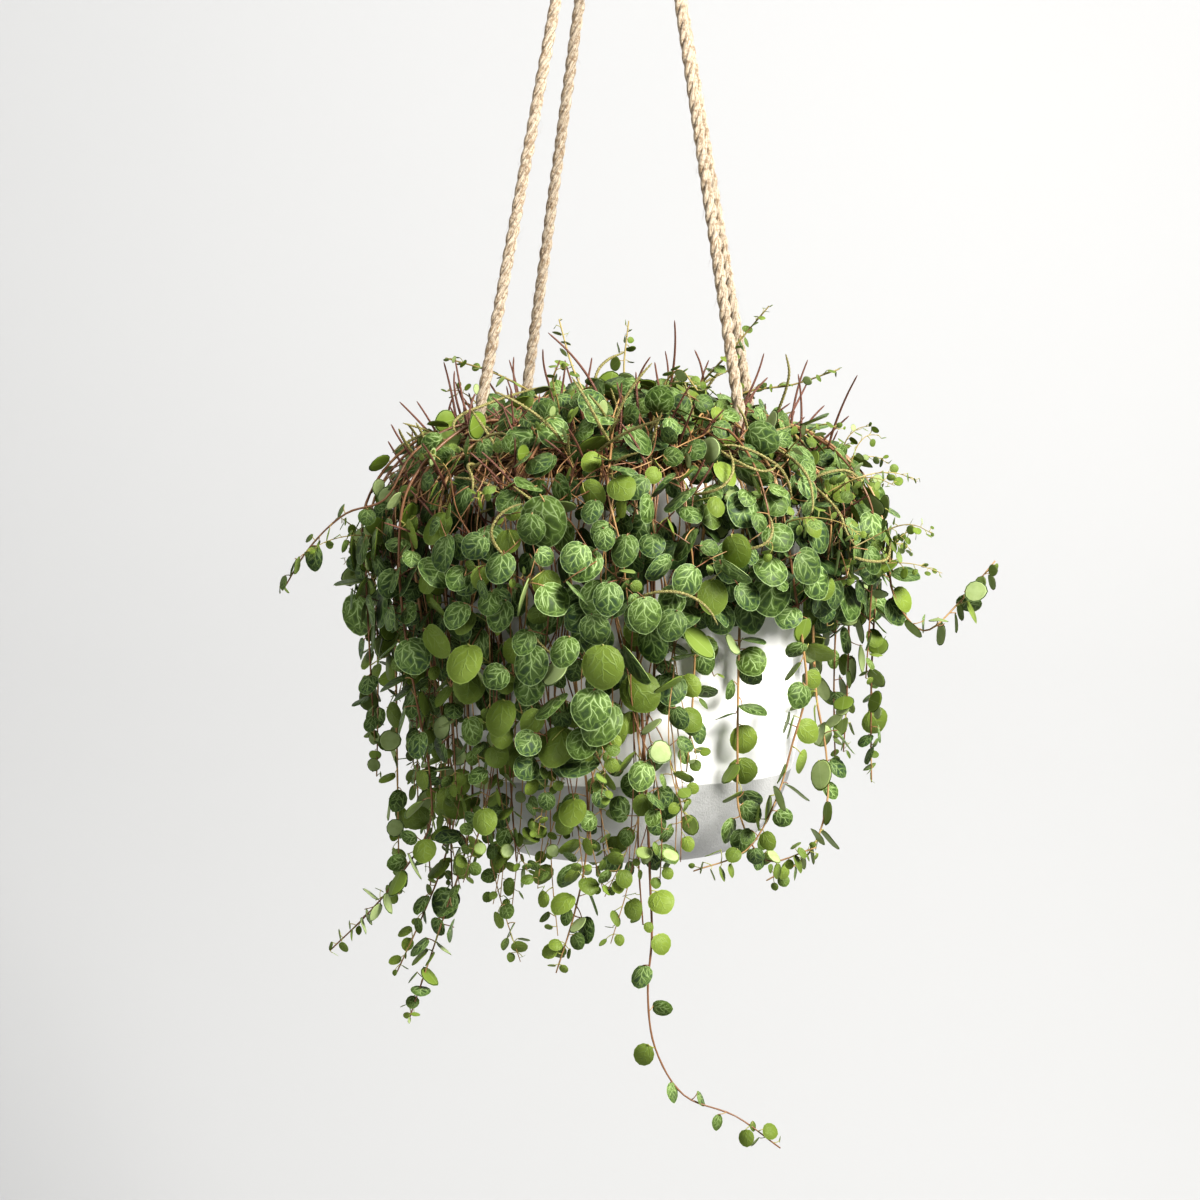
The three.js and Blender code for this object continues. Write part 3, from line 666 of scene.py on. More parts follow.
@dataclass(frozen=True)
class UndersideFinish:
    """Underside of a leaf: plain pale olive green with a faint midrib."""

    pale: Colour = (0.32, 0.39, 0.18)
    green: Colour = (0.14, 0.20, 0.03)

    def material(self) -> bpy.types.Material:
        """Return the finish's material."""
        shading = Shading("leaf_underside", 0.5)
        tint, youth_and_depth_shade, seed = shading.growth_and_depth_shade()
        u, v, _ = shading.split(shading.put("UVMap", {}, uv_map="UVMap"))
        cloud = shading.noise(shading.merge(u, v, seed), 3, 3)
        colour = shading.mix(shading.step(tint, 0.2, 0.75, 0.05, 1.0), self.pale, self.green)
        colour = shading.mix(shading.step(cloud, 0.35, 0.75, 0.0, 0.3), colour, self.green)
        rib = shading.step(shading.math("ABSOLUTE", shading.math("SUBTRACT", u, 0.5)), 0.0, 0.03, 0.5, 0)
        colour = shading.mix(shading.math("MULTIPLY", rib, 0.6), colour, self.pale)
        shading.shade(Base_Color=colour, Specular_IOR_Level=0.2, Normal=shading.relief(cloud, 0.0002))
        return shading.material


@dataclass(frozen=True)
class StemFinish:
    """Thin stems and stalks: tan to red brown, greener towards young growth."""

    tan: Colour = (0.36, 0.205, 0.090)
    red: Colour = (0.17, 0.062, 0.032)
    green: Colour = (0.30, 0.34, 0.08)

    def material(self) -> bpy.types.Material:
        """Return the finish's material."""
        shading = Shading("stem", 0.45)
        tint, youth_and_depth_shade, _ = shading.growth_and_depth_shade()
        where = shading.place()
        drift = shading.math("ADD", shading.math("MULTIPLY", shading.noise(where, 38, 2), 0.9),
                             shading.math("SUBTRACT", shading.math("MULTIPLY", tint, 0.6), 0.3))
        colour = shading.mix(shading.step(drift, 0.3, 0.65), self.red, self.tan)
        colour = shading.mix(shading.math("MULTIPLY", youth_and_depth_shade, 0.8), colour, self.green)
        fine = shading.noise(where, 700, 2)
        shading.shade(Base_Color=colour, Normal=shading.relief(fine, 0.0002))
        return shading.material


@dataclass(frozen=True)
class SpikeFinish:
    """Flower spikes: beaded and yellow green when grown, smooth and red brown when young."""

    yellow: Colour = (0.39, 0.37, 0.14)
    gap: Colour = (0.17, 0.14, 0.04)
    red: Colour = (0.16, 0.065, 0.04)

    def material(self) -> bpy.types.Material:
        """Return the finish's material."""
        shading = Shading("flower_spike", 0.55)
        _, youth_and_depth_shade, seed = shading.growth_and_depth_shade()
        turn, run, _ = shading.split(shading.put("UVMap", {}, uv_map="UVMap"))
        angle = shading.math("MULTIPLY", turn, math.tau)
        beads = shading.put("TexVoronoi", {"Vector": shading.merge(
            shading.math("MULTIPLY", shading.math("COSINE", angle), 1.1),
            shading.math("MULTIPLY", shading.math("SINE", angle), 1.1),
            shading.math("MULTIPLY", run, 9)), "Scale": 1.6}, "Distance")
        grown = shading.mix(shading.step(beads, 0.25, 0.6), self.yellow, self.gap)
        colour = shading.mix(youth_and_depth_shade, grown, self.red)
        shading.shade(Base_Color=colour, Normal=shading.relief(beads, 0.0004))
        return shading.material


@dataclass(frozen=True)
class BackdropFinish:
    """Plain pale studio paper."""

    pale: Colour = (0.535, 0.537, 0.54)

    def material(self) -> bpy.types.Material:
        """Return the finish's material."""
        shading = Shading("studio_paper", 0.9)
        tooth = shading.noise(shading.place(), 3, 2)
        soft = tuple(0.985 * level for level in self.pale)
        shading.shade(Base_Color=shading.mix(tooth, self.pale, soft), Specular_IOR_Level=0.1)
        return shading.material


# Studio


@dataclass
class Studio:
    """Camera, pale backdrop and soft light."""

    eye: Vector = field(default_factory=lambda: Vector((-0.01075, -1.1, -0.468)))
    pitch: float = 2.5
    lens: float = 66.0
    floor_z: float = -1.35
    wall_y: float = 1.25

    def camera(self) -> None:
        """Set the camera where the photograph was taken."""
        data = bpy.data.cameras.new("camera")
        data.lens, data.sensor_width = self.lens, 36.0
        camera = bpy.data.objects.new("camera", data)
        camera.location = self.eye
        camera.rotation_euler = (math.radians(90 - self.pitch), 0, 0)
        bpy.context.scene.collection.objects.link(camera)
        bpy.context.scene.camera = camera

    def backdrop(self) -> None:
        """Make the floor that curves up into the wall."""
        form = bmesh.new()
        bend = 0.7
        line = [(-3.0, self.floor_z), (self.wall_y - bend, self.floor_z)]
        for i in range(1, 13):
            turn = math.radians(90 * i / 12)
            line.append((self.wall_y - bend + bend * math.sin(turn),
                         self.floor_z + bend - bend * math.cos(turn)))
        line.append((self.wall_y, 3.0))
        verts = [form.verts.new((-4, y, z)) for y, z in line]
        edges = [form.edges.new(pair) for pair in zip(verts, verts[1:])]
        grown = bmesh.ops.extrude_edge_only(form, edges=edges)["geom"]
        moved = [item for item in grown if isinstance(item, bmesh.types.BMVert)]
        bmesh.ops.translate(form, vec=(8, 0, 0), verts=moved)
        object_of("backdrop", form, BackdropFinish().material())

    def light(self, name: str, at: tuple[float, float, float], aim: tuple[float, float, float],
              size: float, power: float, colour: Colour = (1, 1, 1)) -> None:
        """Hang one square soft light.

        Args:
            name: the light's name.
            at: where it hangs.
            aim: the point it shines at.
            size: its side in metres.
            power: its watts.
            colour: its colour.
        """
        data = bpy.data.lights.new(name, "AREA")
        data.size, data.energy, data.color = size, power, colour
        lamp = bpy.data.objects.new(name, data)
        lamp.location = at
        lamp.rotation_euler = (Vector(aim) - Vector(at)).to_track_quat("-Z", "Y").to_euler()
        bpy.context.scene.collection.objects.link(lamp)

    def lights(self) -> None:
        """Set a large light at the right, a weak one at the left and an even surround."""
        self.light("key", (1.05, -1.0, 0.4), (0, 0, -0.5), 0.8, 78, (1.0, 0.985, 0.955))
        self.light("fill", (-1.9, -1.7, 0.0), (0, 0, -0.5), 1.6, 26)
        self.light("wall", (-0.4, 0.2, 1.1), (-0.6, 1.25, -0.3), 1.5, 6.0)
        world = bpy.data.worlds.new("surround")
        world.use_nodes = True
        world.node_tree.nodes["Background"].inputs["Color"].default_value = (0.97, 0.985, 1.0, 1)
        world.node_tree.nodes["Background"].inputs["Strength"].default_value = 0.15
        bpy.context.scene.world = world
        bpy.context.scene.view_settings.view_transform = "Standard"
        bpy.context.scene.view_settings.look = "Medium High Contrast"

    def build(self) -> None:
        """Set the whole studio."""
        self.camera()
        self.backdrop()
        self.lights()


# Ropes, in the CAD's own measures in millimetres


@dataclass
class RopeWork:
    """Four jute legs with their stopper knots, the gathering knot and the hanging loop."""

    diameter: float = 6.0
    pitch: float = 24.0
    loop_height: float = 42.0
    loop_half_width: float = 12.8
    loop_foot: float = 5.0
    knot_height: float = 34.0
    knot_radius: float = 13.5
    knot_turns: int = 5
    stopper_radius: float = 7.0
    rim_z: float = -456.0
    rim_radius: float = 82.3
    bend_drop: float = 5.0
    bend_radius: float = 12.0
    end_angle: float = 78.0
    spans: int = 17
    end_gap: float = 0.95
    gap: float = 0.3
    azimuths: dict[str, float] = field(default_factory=lambda: {
        "right_back": 26.5, "left_back": 133.5, "left_front": 202.5, "right_front": 317.5})
    tops: dict[str, tuple[float, float]] = field(default_factory=lambda: {
        "right_back": (5.4, 2.7), "left_back": (-1.2, 4.4), "left_front": (-5.6, -2.4),
        "right_front": (7.4, -4.1)})

    def bend(self, angle: float) -> tuple[float, float, tuple[float, float]]:
        """Return radius, height and direction of a leg's centre line at a turn from straight down."""
        lean = math.asin(self.rim_radius / math.hypot(self.rim_radius, self.rim_z + self.loop_height))
        turn = max(lean, math.radians(angle))
        radius = self.rim_radius + self.bend_radius * (math.cos(lean) - math.cos(turn))
        z = self.rim_z - self.bend_drop + self.bend_radius * (math.sin(lean) - math.sin(turn))
        return radius, z, (math.sin(turn), -math.cos(turn))

    def leg_points(self, side: str) -> np.ndarray:
        """Return a leg's centre line from the gathering knot to its hole."""
        top = np.array([*self.tops[side], -self.loop_height - self.knot_height - self.end_gap])
        azimuth = self.azimuths[side]
        radius, z, _ = self.bend(0)
        foot = polar(azimuth, radius, z)
        points = [top + (foot - top) * i / self.spans for i in range(self.spans + 1)]
        for angle in (24, 37, 51, 65, self.end_angle):
            radius, z, _ = self.bend(angle)
            points.append(polar(azimuth, radius, z))
        return np.array(points)

    def stopper_centre(self, side: str) -> np.ndarray:
        """Return the middle of a leg's stopper knot."""
        radius, z, (out, down) = self.bend(self.end_angle)
        reach = self.stopper_radius + self.gap
        return polar(self.azimuths[side], radius + reach * out, z + reach * down)

    def loop_points(self) -> np.ndarray:
        """Return the hanging loop's centre line."""
        foot, top = self.end_gap - self.loop_height, self.diameter / 2
        width = self.loop_half_width
        half = [(self.loop_foot, foot), (0.55 * width, foot + 9), (0.9 * width, foot + 20),
                (width, foot + 31), (0.74 * width, top - 4.2)]
        right = [np.array([x, 0, z]) for x, z in half]
        left = [np.array([-x, 0, z]) for x, z in reversed(half)]
        return np.array([*right, np.array([0, 0, top]), *left])

    def lay(self, cluster: Cluster, path: np.ndarray, seed: int, diameter: float | None = None,
            fuzz: float = 0.55) -> None:
        """Twist three strands round a path, with loose fibres.

        Args:
            cluster: what the strands go into.
            path: the rope's centre line in millimetres, at even small steps.
            seed: what the fibres are drawn from.
            diameter: the rope's thickness, if it isn't the legs'.
            fuzz: loose fibres to a millimetre.
        """
        diameter = diameter or self.diameter
        frames = [tuple(np.array(axis) for axis in axes) for axes in tube_frames(path)]
        run = np.concatenate([[0], np.cumsum(np.linalg.norm(np.diff(path, axis=0), axis=1))])
        for strand in range(3):
            turn = math.tau * (strand / 3 + run / (self.pitch * diameter / self.diameter))
            line = np.array([point + 0.252 * diameter * (math.cos(a) * normal + math.sin(a) * beside)
                             for point, a, (normal, beside, _) in zip(path, turn, frames)])
            plump = [0.252 * diameter * (1 + 0.05 * math.sin(0.9 * r + 2 * strand)) for r in run]
            cluster.add(sweep(line * MM, np.array(plump) * MM, 9), growth_and_depth_shade=(0.5, 0, strand))
        for item in range(int(fuzz * run[-1])):
            i = int(between(1, len(path) - 2, seed, item, 1))
            normal, beside, way = frames[i]
            turn = between(0, math.tau, seed, item, 2)
            out = math.cos(turn) * normal + math.sin(turn) * beside
            round_ = cross(way, out)
            length = between(2.5, 6.5, seed, item, 3)
            lean = unit(way * (1 if draw(seed, item, 4) < 0.6 else -1) + round_ * 0.55)
            lift = between(0.5, 1.9, seed, item, 5)
            matrix = np.column_stack([cross(lean, out), lean * length, out * lift,
                                      path[i] + out * diameter * 0.46]) * MM
            cluster.add(self.fibre, matrix)

    def __post_init__(self) -> None:
        """Model the one loose fibre that the ropes copy."""
        share = np.linspace(0, 1, 4)
        line = np.column_stack([0.2 * share ** 2, share, 0.9 * np.sin(share * 1.9)])
        shape = sweep(line, [0.02, 0.02, 0.015, 0.008], 3)
        self.fibre = replace(shape, uv=shape.uv * (1, 0) + (0, 0.8))

    def even(self, points: np.ndarray, spacing: float = 1.5, per_span: int = 10) -> np.ndarray:
        """Return the smooth route through points at even small steps."""
        fine = Route(points).sampled(per_span)
        length = Walk(fine, 1).length
        return Walk(fine, length / round(length / spacing) - 1e-9).at

    def gathering_knot(self, jute: bpy.types.Material) -> bpy.types.Object:
        """Wrap the bundle of ropes with tight turns."""
        cluster = Cluster()
        bottom, top = -self.loop_height - self.knot_height, -self.loop_height
        turns = self.knot_turns - 0.9
        count = int(turns * 30)
        low, high = bottom + 3.2, top - 3.2
        wrap = [polar(200 + 360 * turns * i / count, self.knot_radius - 3.1, mix(low, high, i / count))
                for i in range(count + 1)]
        ends = [polar(200 - 40, 5, low - 0.6)], [polar(200 + 360 * turns + 40, 5, high + 0.6)]
        self.lay(cluster, np.array([*ends[0], *wrap, *ends[1]]), 90, fuzz=0.3)
        for item, side in enumerate(self.azimuths):
            x, y = self.tops[side]
            line = [np.array([x, y, bottom - 1]), np.array([0.8 * x, 0.8 * y, bottom + 12]),
                    np.array([0.8 * x, 0.8 * y, top - 4])]
            self.lay(cluster, self.even(np.array(line)), 91 + item, fuzz=0.0)
        for hand in (-1, 1):
            line = [np.array([hand * self.loop_foot * 0.8, 0, bottom + 14]),
                    np.array([hand * self.loop_foot * 0.9, 0, top - 8]),
                    np.array([hand * self.loop_foot, 0, top + self.end_gap])]
            self.lay(cluster, self.even(np.array(line)), 96, fuzz=0.0)
        return install(cluster.build("gathering_knot_rope", [jute]), ["gathering_knot"])

    def stopper(self, side: str, jute: bpy.types.Material, seed: int) -> bpy.types.Object:
        """Tie the overhand knot that holds a leg in its hole."""
        centre, azimuth = self.stopper_centre(side), self.azimuths[side]
        out, across = polar(azimuth, 1, 0), polar(azimuth + 90, 1, 0)
        up = np.array([0, 0, 1.0])
        line = []
        for i in range(73):
            t = math.tau * i / 72
            wide = math.sin(t) + 1.9 * math.sin(2 * t)
            high = math.cos(t) - 1.9 * math.cos(2 * t)
            deep = -math.sin(3 * t)
            line.append(centre + 1.45 * (across * wide + up * high) + out * deep * 2.3)
        cluster = Cluster()
        self.lay(cluster, np.array(line), seed, diameter=4.6, fuzz=0.5)
        tail = [centre + out * 2, centre + out * 7 - up * 3, centre + out * 9 - up * 12]
        self.lay(cluster, self.even(np.array(tail)), seed + 1, diameter=4.8, fuzz=1.5)
        return install(cluster.build(f"stopper_knot_{side}_rope", [jute]),
                       [f"stopper_knot_{side}"])

    def build(self) -> None:
        """Make every rope."""
        jute = JuteFinish().material()
        gather = self.gathering_knot(jute)
        for item, side in enumerate(self.azimuths):
            stopper = self.stopper(side, jute, 200 + 10 * item)
            path = self.even(self.leg_points(side))
            cluster = Cluster()
            self.lay(cluster, path, 300 + item)
            leg = install(cluster.build(f"rope_leg_{side}", [jute]), [f"rope_{side}"])
        path = self.even(self.loop_points())
        cluster = Cluster()
        self.lay(cluster, path, 400)
        loop = install(cluster.build("hanging_loop_rope", [jute]), ["hanging_loop"])


# Pot and soil, in millimetres above the foot


@dataclass
class Pot:
    """A thin-walled round pot with a small foot, four rope holes and the soil in it."""

    rim_z: float = -456.0
    height: float = 184.0
    foot_radius: float = 50.0
    belly_height: float = 90.0
    belly_radius: float = 90.3
    rim_radius: float = 91.0
    wall: float = 5.0
    floor: float = 8.0
    hole_radius: float = 4.8
    soil_drop: float = 22.0
    soil_crown: float = 5.0
    gap: float = 0.3

    def radius_at(self, height: float) -> float:
        """Return the outside radius at a height above the foot."""
        if height >= self.belly_height:
            share = (height - self.belly_height) / (self.height - self.belly_height)
            return mix(self.belly_radius, self.rim_radius, share)
        below = 1 - max(height, 0) / self.belly_height
        return mix(self.foot_radius, self.belly_radius, (1 - below ** 2.4) ** (1 / 1.9))

    def inside_at(self, height: float) -> float:
        """Return the inside radius at a height above the foot."""
        return self.radius_at(height - self.wall / 2) - self.wall

    def profile(self) -> list[tuple[float, float]]:
        """Return the wall's outline from the middle of the foot to the middle of the floor."""
        shares = [1 - math.cos(i / 36 * math.pi / 2) for i in range(37)]
        outside = [(self.radius_at(self.belly_height * s), self.belly_height * s) for s in shares]
        inside = [(self.inside_at(mix(self.floor, self.belly_height, s)),
                   mix(self.floor, self.belly_height, s)) for s in reversed(shares[::3])]
        wall = [(self.radius_at(h), h) for h in (110, 130, 150, 168, 178)]
        lip = [(self.rim_radius - self.wall / 2 + self.wall / 2 * math.cos(math.radians(a)),
                self.height - 2.2 + 2.2 * math.sin(math.radians(a))) for a in range(0, 181, 18)]
        foot = [(0, 1.6), (self.foot_radius - 7, 1.6), (self.foot_radius - 5.4, 0.0),
                (self.foot_radius - 1.4, 0.0), (self.foot_radius, 0.4)]
        return [*foot, *outside[1:], *wall, *lip, (self.rim_radius - self.wall, 150),
                *inside, (0, self.floor)]

    def build_wall(self, ropes: RopeWork) -> bpy.types.Object:
        """Spin the wall and bore the rope holes."""
        form = spun([(r * MM, (h + self.rim_z - self.height) * MM) for r, h in self.profile()], 160)
        pot = object_of("pot_wall", form, PotFinish().material())
        cutters = bmesh.new()
        inner, outer = ropes.bend(45), ropes.bend(ropes.end_angle - 2)
        slope = math.atan2(outer[1] - inner[1], outer[0] - inner[0])
        for azimuth in ropes.azimuths.values():
            middle = polar(azimuth, (inner[0] + outer[0]) / 2, (inner[1] + outer[1]) / 2) * MM
            turn = Matrix.Rotation(math.radians(azimuth), 4, "Z") @ Matrix.Rotation(-slope, 4, "Y") \
                @ Matrix.Rotation(math.pi / 2, 4, "Y")
            bmesh.ops.create_cone(cutters, cap_ends=True, segments=28, radius1=self.hole_radius * MM,
                                  radius2=self.hole_radius * MM, depth=4 * self.wall * MM,
                                  matrix=Matrix.Translation(Vector(middle)) @ turn)
        drill = object_of("drill", cutters, pot.data.materials[0])
        bore = pot.modifiers.new("holes", "BOOLEAN")
        bore.object, bore.operation, bore.solver = drill, "DIFFERENCE", "EXACT"
        bored = bpy.data.meshes.new_from_object(pot.evaluated_get(bpy.context.evaluated_depsgraph_get()))
        pot.modifiers.clear()
        pot.data = bored
        bpy.data.objects.remove(drill)
        return install(pot, ["pot"])

    def soil_height(self, radius: float) -> float:
        """Return the soil's surface, relative to the rim, at a radius."""
        share = radius / (self.rim_radius - self.wall)
        return -self.soil_drop + self.soil_crown * (1 - share ** 2)

    def build_soil(self) -> bpy.types.Object:
        """Fill the pot with crumbly soil."""
        earth = SoilFinish().material()
        top = self.rim_radius - self.wall - self.gap
        heights = [self.floor + self.gap, *np.linspace(self.floor + 6, self.height - self.soil_drop, 9)]
        side = [(self.inside_at(h) - self.gap, h + self.gap) for h in heights]
        crust = [(top * s, self.height + self.soil_height(top * s)) for s in np.linspace(0.98, 0, 34)]
        form = spun([(0.0, self.floor + self.gap), *side, *crust], 96)
        for vert in form.verts:
            if vert.co.z > self.height - self.soil_drop - 1 and math.hypot(*vert.co.xy) < top - 2:
                vert.co.z += 1.6 * noise.fractal(vert.co * 0.12, 0.8, 2, 4)
        bmesh.ops.translate(form, vec=(0, 0, self.rim_z - self.height), verts=form.verts[:])
        bmesh.ops.scale(form, vec=(MM, MM, MM), verts=form.verts[:])
        for face in form.faces:
            face.smooth = True
        cluster = Cluster()
        cluster.add(Shape.of(form))
        crumbs = [self.crumb(seed) for seed in range(4)]
        for item in range(420):
            radius = (top - 3) * math.sqrt(draw(item, 501))
            size = between(0.7, 2.3, item, 503) * MM
            place = polar(360 * draw(item, 502), radius, self.rim_z + self.soil_height(radius)) * MM
            turn = np.array(Matrix.Rotation(between(0, 6, item, 504), 3, "X")
                            @ Matrix.Rotation(between(0, 6, item, 505), 3, "Z"))
            cluster.add(crumbs[item % 4], np.column_stack([turn * size, place]))
        return install(cluster.build("potting_soil_fill", [earth]), ["soil"])

    def crumb(self, seed: int) -> Shape:
        """Return a small uneven lump of unit size."""
        form = bmesh.new()
        bmesh.ops.create_icosphere(form, subdivisions=1, radius=1)
        for item, vert in enumerate(form.verts):
            vert.co *= between(0.7, 1.15, seed, item, 511)
        return Shape.of(form)


# Plant, in millimetres relative to the middle of the pot's rim


@dataclass(frozen=True)
class Ring:
    """Where a ring of stems is rooted, how high it rises and how far outside the rim it hangs."""

    root: float
    crest: float
    out: float


class Rings(Enum):
    """Rings of stems; those rooted further in rise higher and hang further out."""

    NEAR = Ring(66, 8, 10)
    MIDDLE = Ring(49, 19, 24)
    OUTER = Ring(31, 28, 37)


@dataclass
class Leaf:
    """One blade held off its stem."""

    root: np.ndarray
    middle: np.ndarray
    to_tip: np.ndarray
    across: np.ndarray
    face: np.ndarray
    half: float
    # below zero, youth holds painted shade for a leaf that lies deep inside the canopy
    youth_and_depth_shade: float = 0.0
    tint: float = 0.5
    seed: float = 0.0

    def samples(self, spacing: float, thickness: float = 0.26) -> np.ndarray:
        """Return points over the blade, for keeping leaves apart."""
        rings = max(1, math.ceil(self.half / spacing))
        rows = []
        for ring in range(rings + 1):
            radius = self.half * ring / rings
            count = max(1, math.ceil(math.tau * radius / spacing))
            turn = math.tau * np.arange(count) / count
            rows.append(self.middle + np.outer(radius * np.cos(turn), self.to_tip)
                        + np.outer(radius * np.sin(turn), self.across))
        return np.concatenate(rows) + self.face * self.half * thickness * 0.3


class Thicket:
    """Space already taken, in cubes, so that no two leaves are set through each other."""

    EMPTY = -32768
    REACH = np.array([196.0, 196.0, 330.0])

    def __init__(self, cell: float) -> None:
        """Start empty, with cubes of the given side."""
        self.cell = cell
        self.middle = np.ceil(self.REACH / cell).astype(int) + 2
        self.shape = 2 * self.middle
        self.taken = np.full(int(np.prod(self.shape)), self.EMPTY, np.int16)
        step = np.array([self.shape[1] * self.shape[2], self.shape[2], 1])
        around = np.array([(i, j, k) for i in (-1, 0, 1) for j in (-1, 0, 1) for k in (-1, 0, 1)])
        self.step, self.around = step, around @ step

    def cells(self, points: np.ndarray) -> np.ndarray:
        """Return the cube that each point is in."""
        index = np.floor(points / self.cell).astype(int) + self.middle
        return np.clip(index, 1, self.shape - 2) @ self.step

    def claim(self, points: np.ndarray, owner: int) -> None:
        """Take the cubes that are still free."""
        cells = self.cells(points)
        self.taken[cells[self.taken[cells] == self.EMPTY]] = owner

    def is_free(self, points: np.ndarray, own: int, past_stems: bool = False) -> bool:
        """Tell whether every cube near the points is free, the stem's own or, if asked, any stem's."""
        owners = self.taken[self.cells(points)[:, None] + self.around]
        taken = (owners != self.EMPTY) & (owners != own)
        return not bool((taken & (owners < 0) if past_stems else taken).any())


@dataclass
class Vine:
    """One stem with its leaves and spikes."""

    name: str
    index: int
    points: np.ndarray
    is_shoot: bool = False
    leaves: list[Leaf] = field(default_factory=list)
    spikes: list[tuple[np.ndarray, float]] = field(default_factory=list)
    thickness: float = 0.8


# Stems as the CAD has them: the ring, the azimuth over the rim, the drop and the sideways drift
TRAILS = [
    (Rings.NEAR, 278, 205, -3), (Rings.NEAR, 292, 135, -4), (Rings.NEAR, 234, 178, 4),
    (Rings.NEAR, 216, 205, -3), (Rings.NEAR, 190, 200, 3), (Rings.NEAR, 174, 185, 2),
    (Rings.NEAR, 153, 190, 4), (Rings.NEAR, 119, 170, -4), (Rings.NEAR, 96, 215, 3),
    (Rings.NEAR, 72, 150, 5), (Rings.NEAR, 46, 185, -4), (Rings.NEAR, 8, 112, 3),
    (Rings.MIDDLE, 284, 62, 4), (Rings.MIDDLE, 246, 96, -4), (Rings.MIDDLE, 222, 150, 5),
    (Rings.MIDDLE, 183, 208, -2), (Rings.MIDDLE, 164, 176, -3), (Rings.MIDDLE, 143, 150, 4),
    (Rings.MIDDLE, 108, 188, 3), (Rings.MIDDLE, 59, 160, 3), (Rings.MIDDLE, 14, 140, -3),
    (Rings.MIDDLE, 350, 135, 3), (Rings.MIDDLE, 328, 70, 3), (Rings.OUTER, 300, 44, 3),
    (Rings.OUTER, 267, 58, 4), (Rings.OUTER, 192, 128, 2), (Rings.OUTER, 171, 150, 3),
    (Rings.OUTER, 127, 118, 4), (Rings.OUTER, 73, 104, 3), (Rings.OUTER, 357, 150, -2),
    (Rings.OUTER, 338, 96, 3),
]

# Stems with a route of their own from the rim on
STRAYS = [
    ("longest", Rings.NEAR, 266, [(4, -101, -60), (9, -100, -120), (12, -97, -180), (13, -95, -222),
                                  (11, -94, -247), (18, -93, -271), (31, -92, -288), (55, -91, -297),
                                  (73, -90, -311)]),
    ("front_left", Rings.NEAR, 255, [(-24, -100, -60), (-20, -99, -115), (-16, -97, -160),
                                     (-22, -95, -198), (-31, -94, -228)]),
    ("splay_low", Rings.MIDDLE, 232, [(-76, -79, -60), (-72, -72, -120), (-72, -68, -165),
                                      (-84, -66, -205), (-102, -64, -258)]),
    ("splay_mid", Rings.MIDDLE, 211, [(-96, -62, -60), (-84, -60, -120), (-80, -58, -162),
                                      (-92, -56, -200), (-108, -56, -236)]),
    ("splay_wide", Rings.OUTER, 217, [(-103, -76, -60), (-94, -72, -120), (-90, -70, -160),
                                      (-112, -66, -196), (-139, -62, -224)]),
    ("cross_right", Rings.NEAR, 303, [(54, -84, -60), (53, -86, -112), (55, -86, -160), (64, -84, -176),
                                      (78, -82, -179), (90, -80, -172)]),
    ("sweep_left", Rings.MIDDLE, 309, [(80, -88, -60), (85, -82, -97), (77, -84, -128), (66, -92, -158),
                                       (50, -97, -176), (32, -99, -180)]),
    ("loop_right", Rings.NEAR, 338, [(92, -42, -60), (93, -42, -100), (99, -44, -140), (96, -50, -166),
                                     (84, -58, -184), (68, -66, -190)]),
    ("reach_right", Rings.OUTER, 345, [(129, -34, -32), (134, -31, -62), (148, -26, -74),
                                       (168, -20, -58), (184, -16, -40)]),
    ("reach_left", Rings.OUTER, 206, [(-124, -52, -8), (-138, -46, -24), (-152, -38, -34),
                                      (-165, -32, -54)]),
]

# Short stems that stand out of the mound
SHOOTS = [
    [(22, -8, 22), (40, -8, 48), (56, -6, 66), (73, -4, 86)],
    [(36, 12, 24), (62, 14, 44), (86, 14, 48), (110, 14, 56)],
    [(-12, -10, 24), (-20, -10, 46), (-27, -8, 62), (-31, -8, 79)],
    [(-32, -10, 28), (-56, -10, 50), (-74, -9, 54), (-87, -10, 60)],
    [(2, 22, 26), (4, 30, 50), (0, 34, 64), (4, 36, 82)],
    [(14, -34, 28), (22, -52, 48), (28, -70, 50), (34, -88, 40)],
    [(24, 36, 30), (36, 54, 46), (46, 70, 42), (54, 84, 26)],
]

# How far the filling stems hang below the rim, by the azimuth where they cross it
FILL_DROPS = [(0, 72), (30, 95), (60, 118), (90, 122), (120, 118), (150, 140), (168, 170), (182, 165),
              (194, 115), (208, 120), (222, 185), (238, 212), (250, 196), (262, 205), (276, 205), (285, 120),
              (294, 66), (310, 58), (330, 58), (360, 72)]


# How far below the rim the closed canopy reaches, by azimuth
COVER_LIMITS = [(0, 74), (40, 92), (90, 110), (140, 112), (175, 90), (205, 92), (225, 112), (255, 136),
                (275, 126), (289, 66), (335, 60), (360, 74)]

# The outline of the leaves over the mound and the shoulders: radius and height above the rim
CANOPY = [(0, 50), (38, 46), (64, 38), (86, 29), (104, 17), (118, 4), (130, -16), (136, -40)]
CANOPY_T = tuple(zip(*CANOPY))


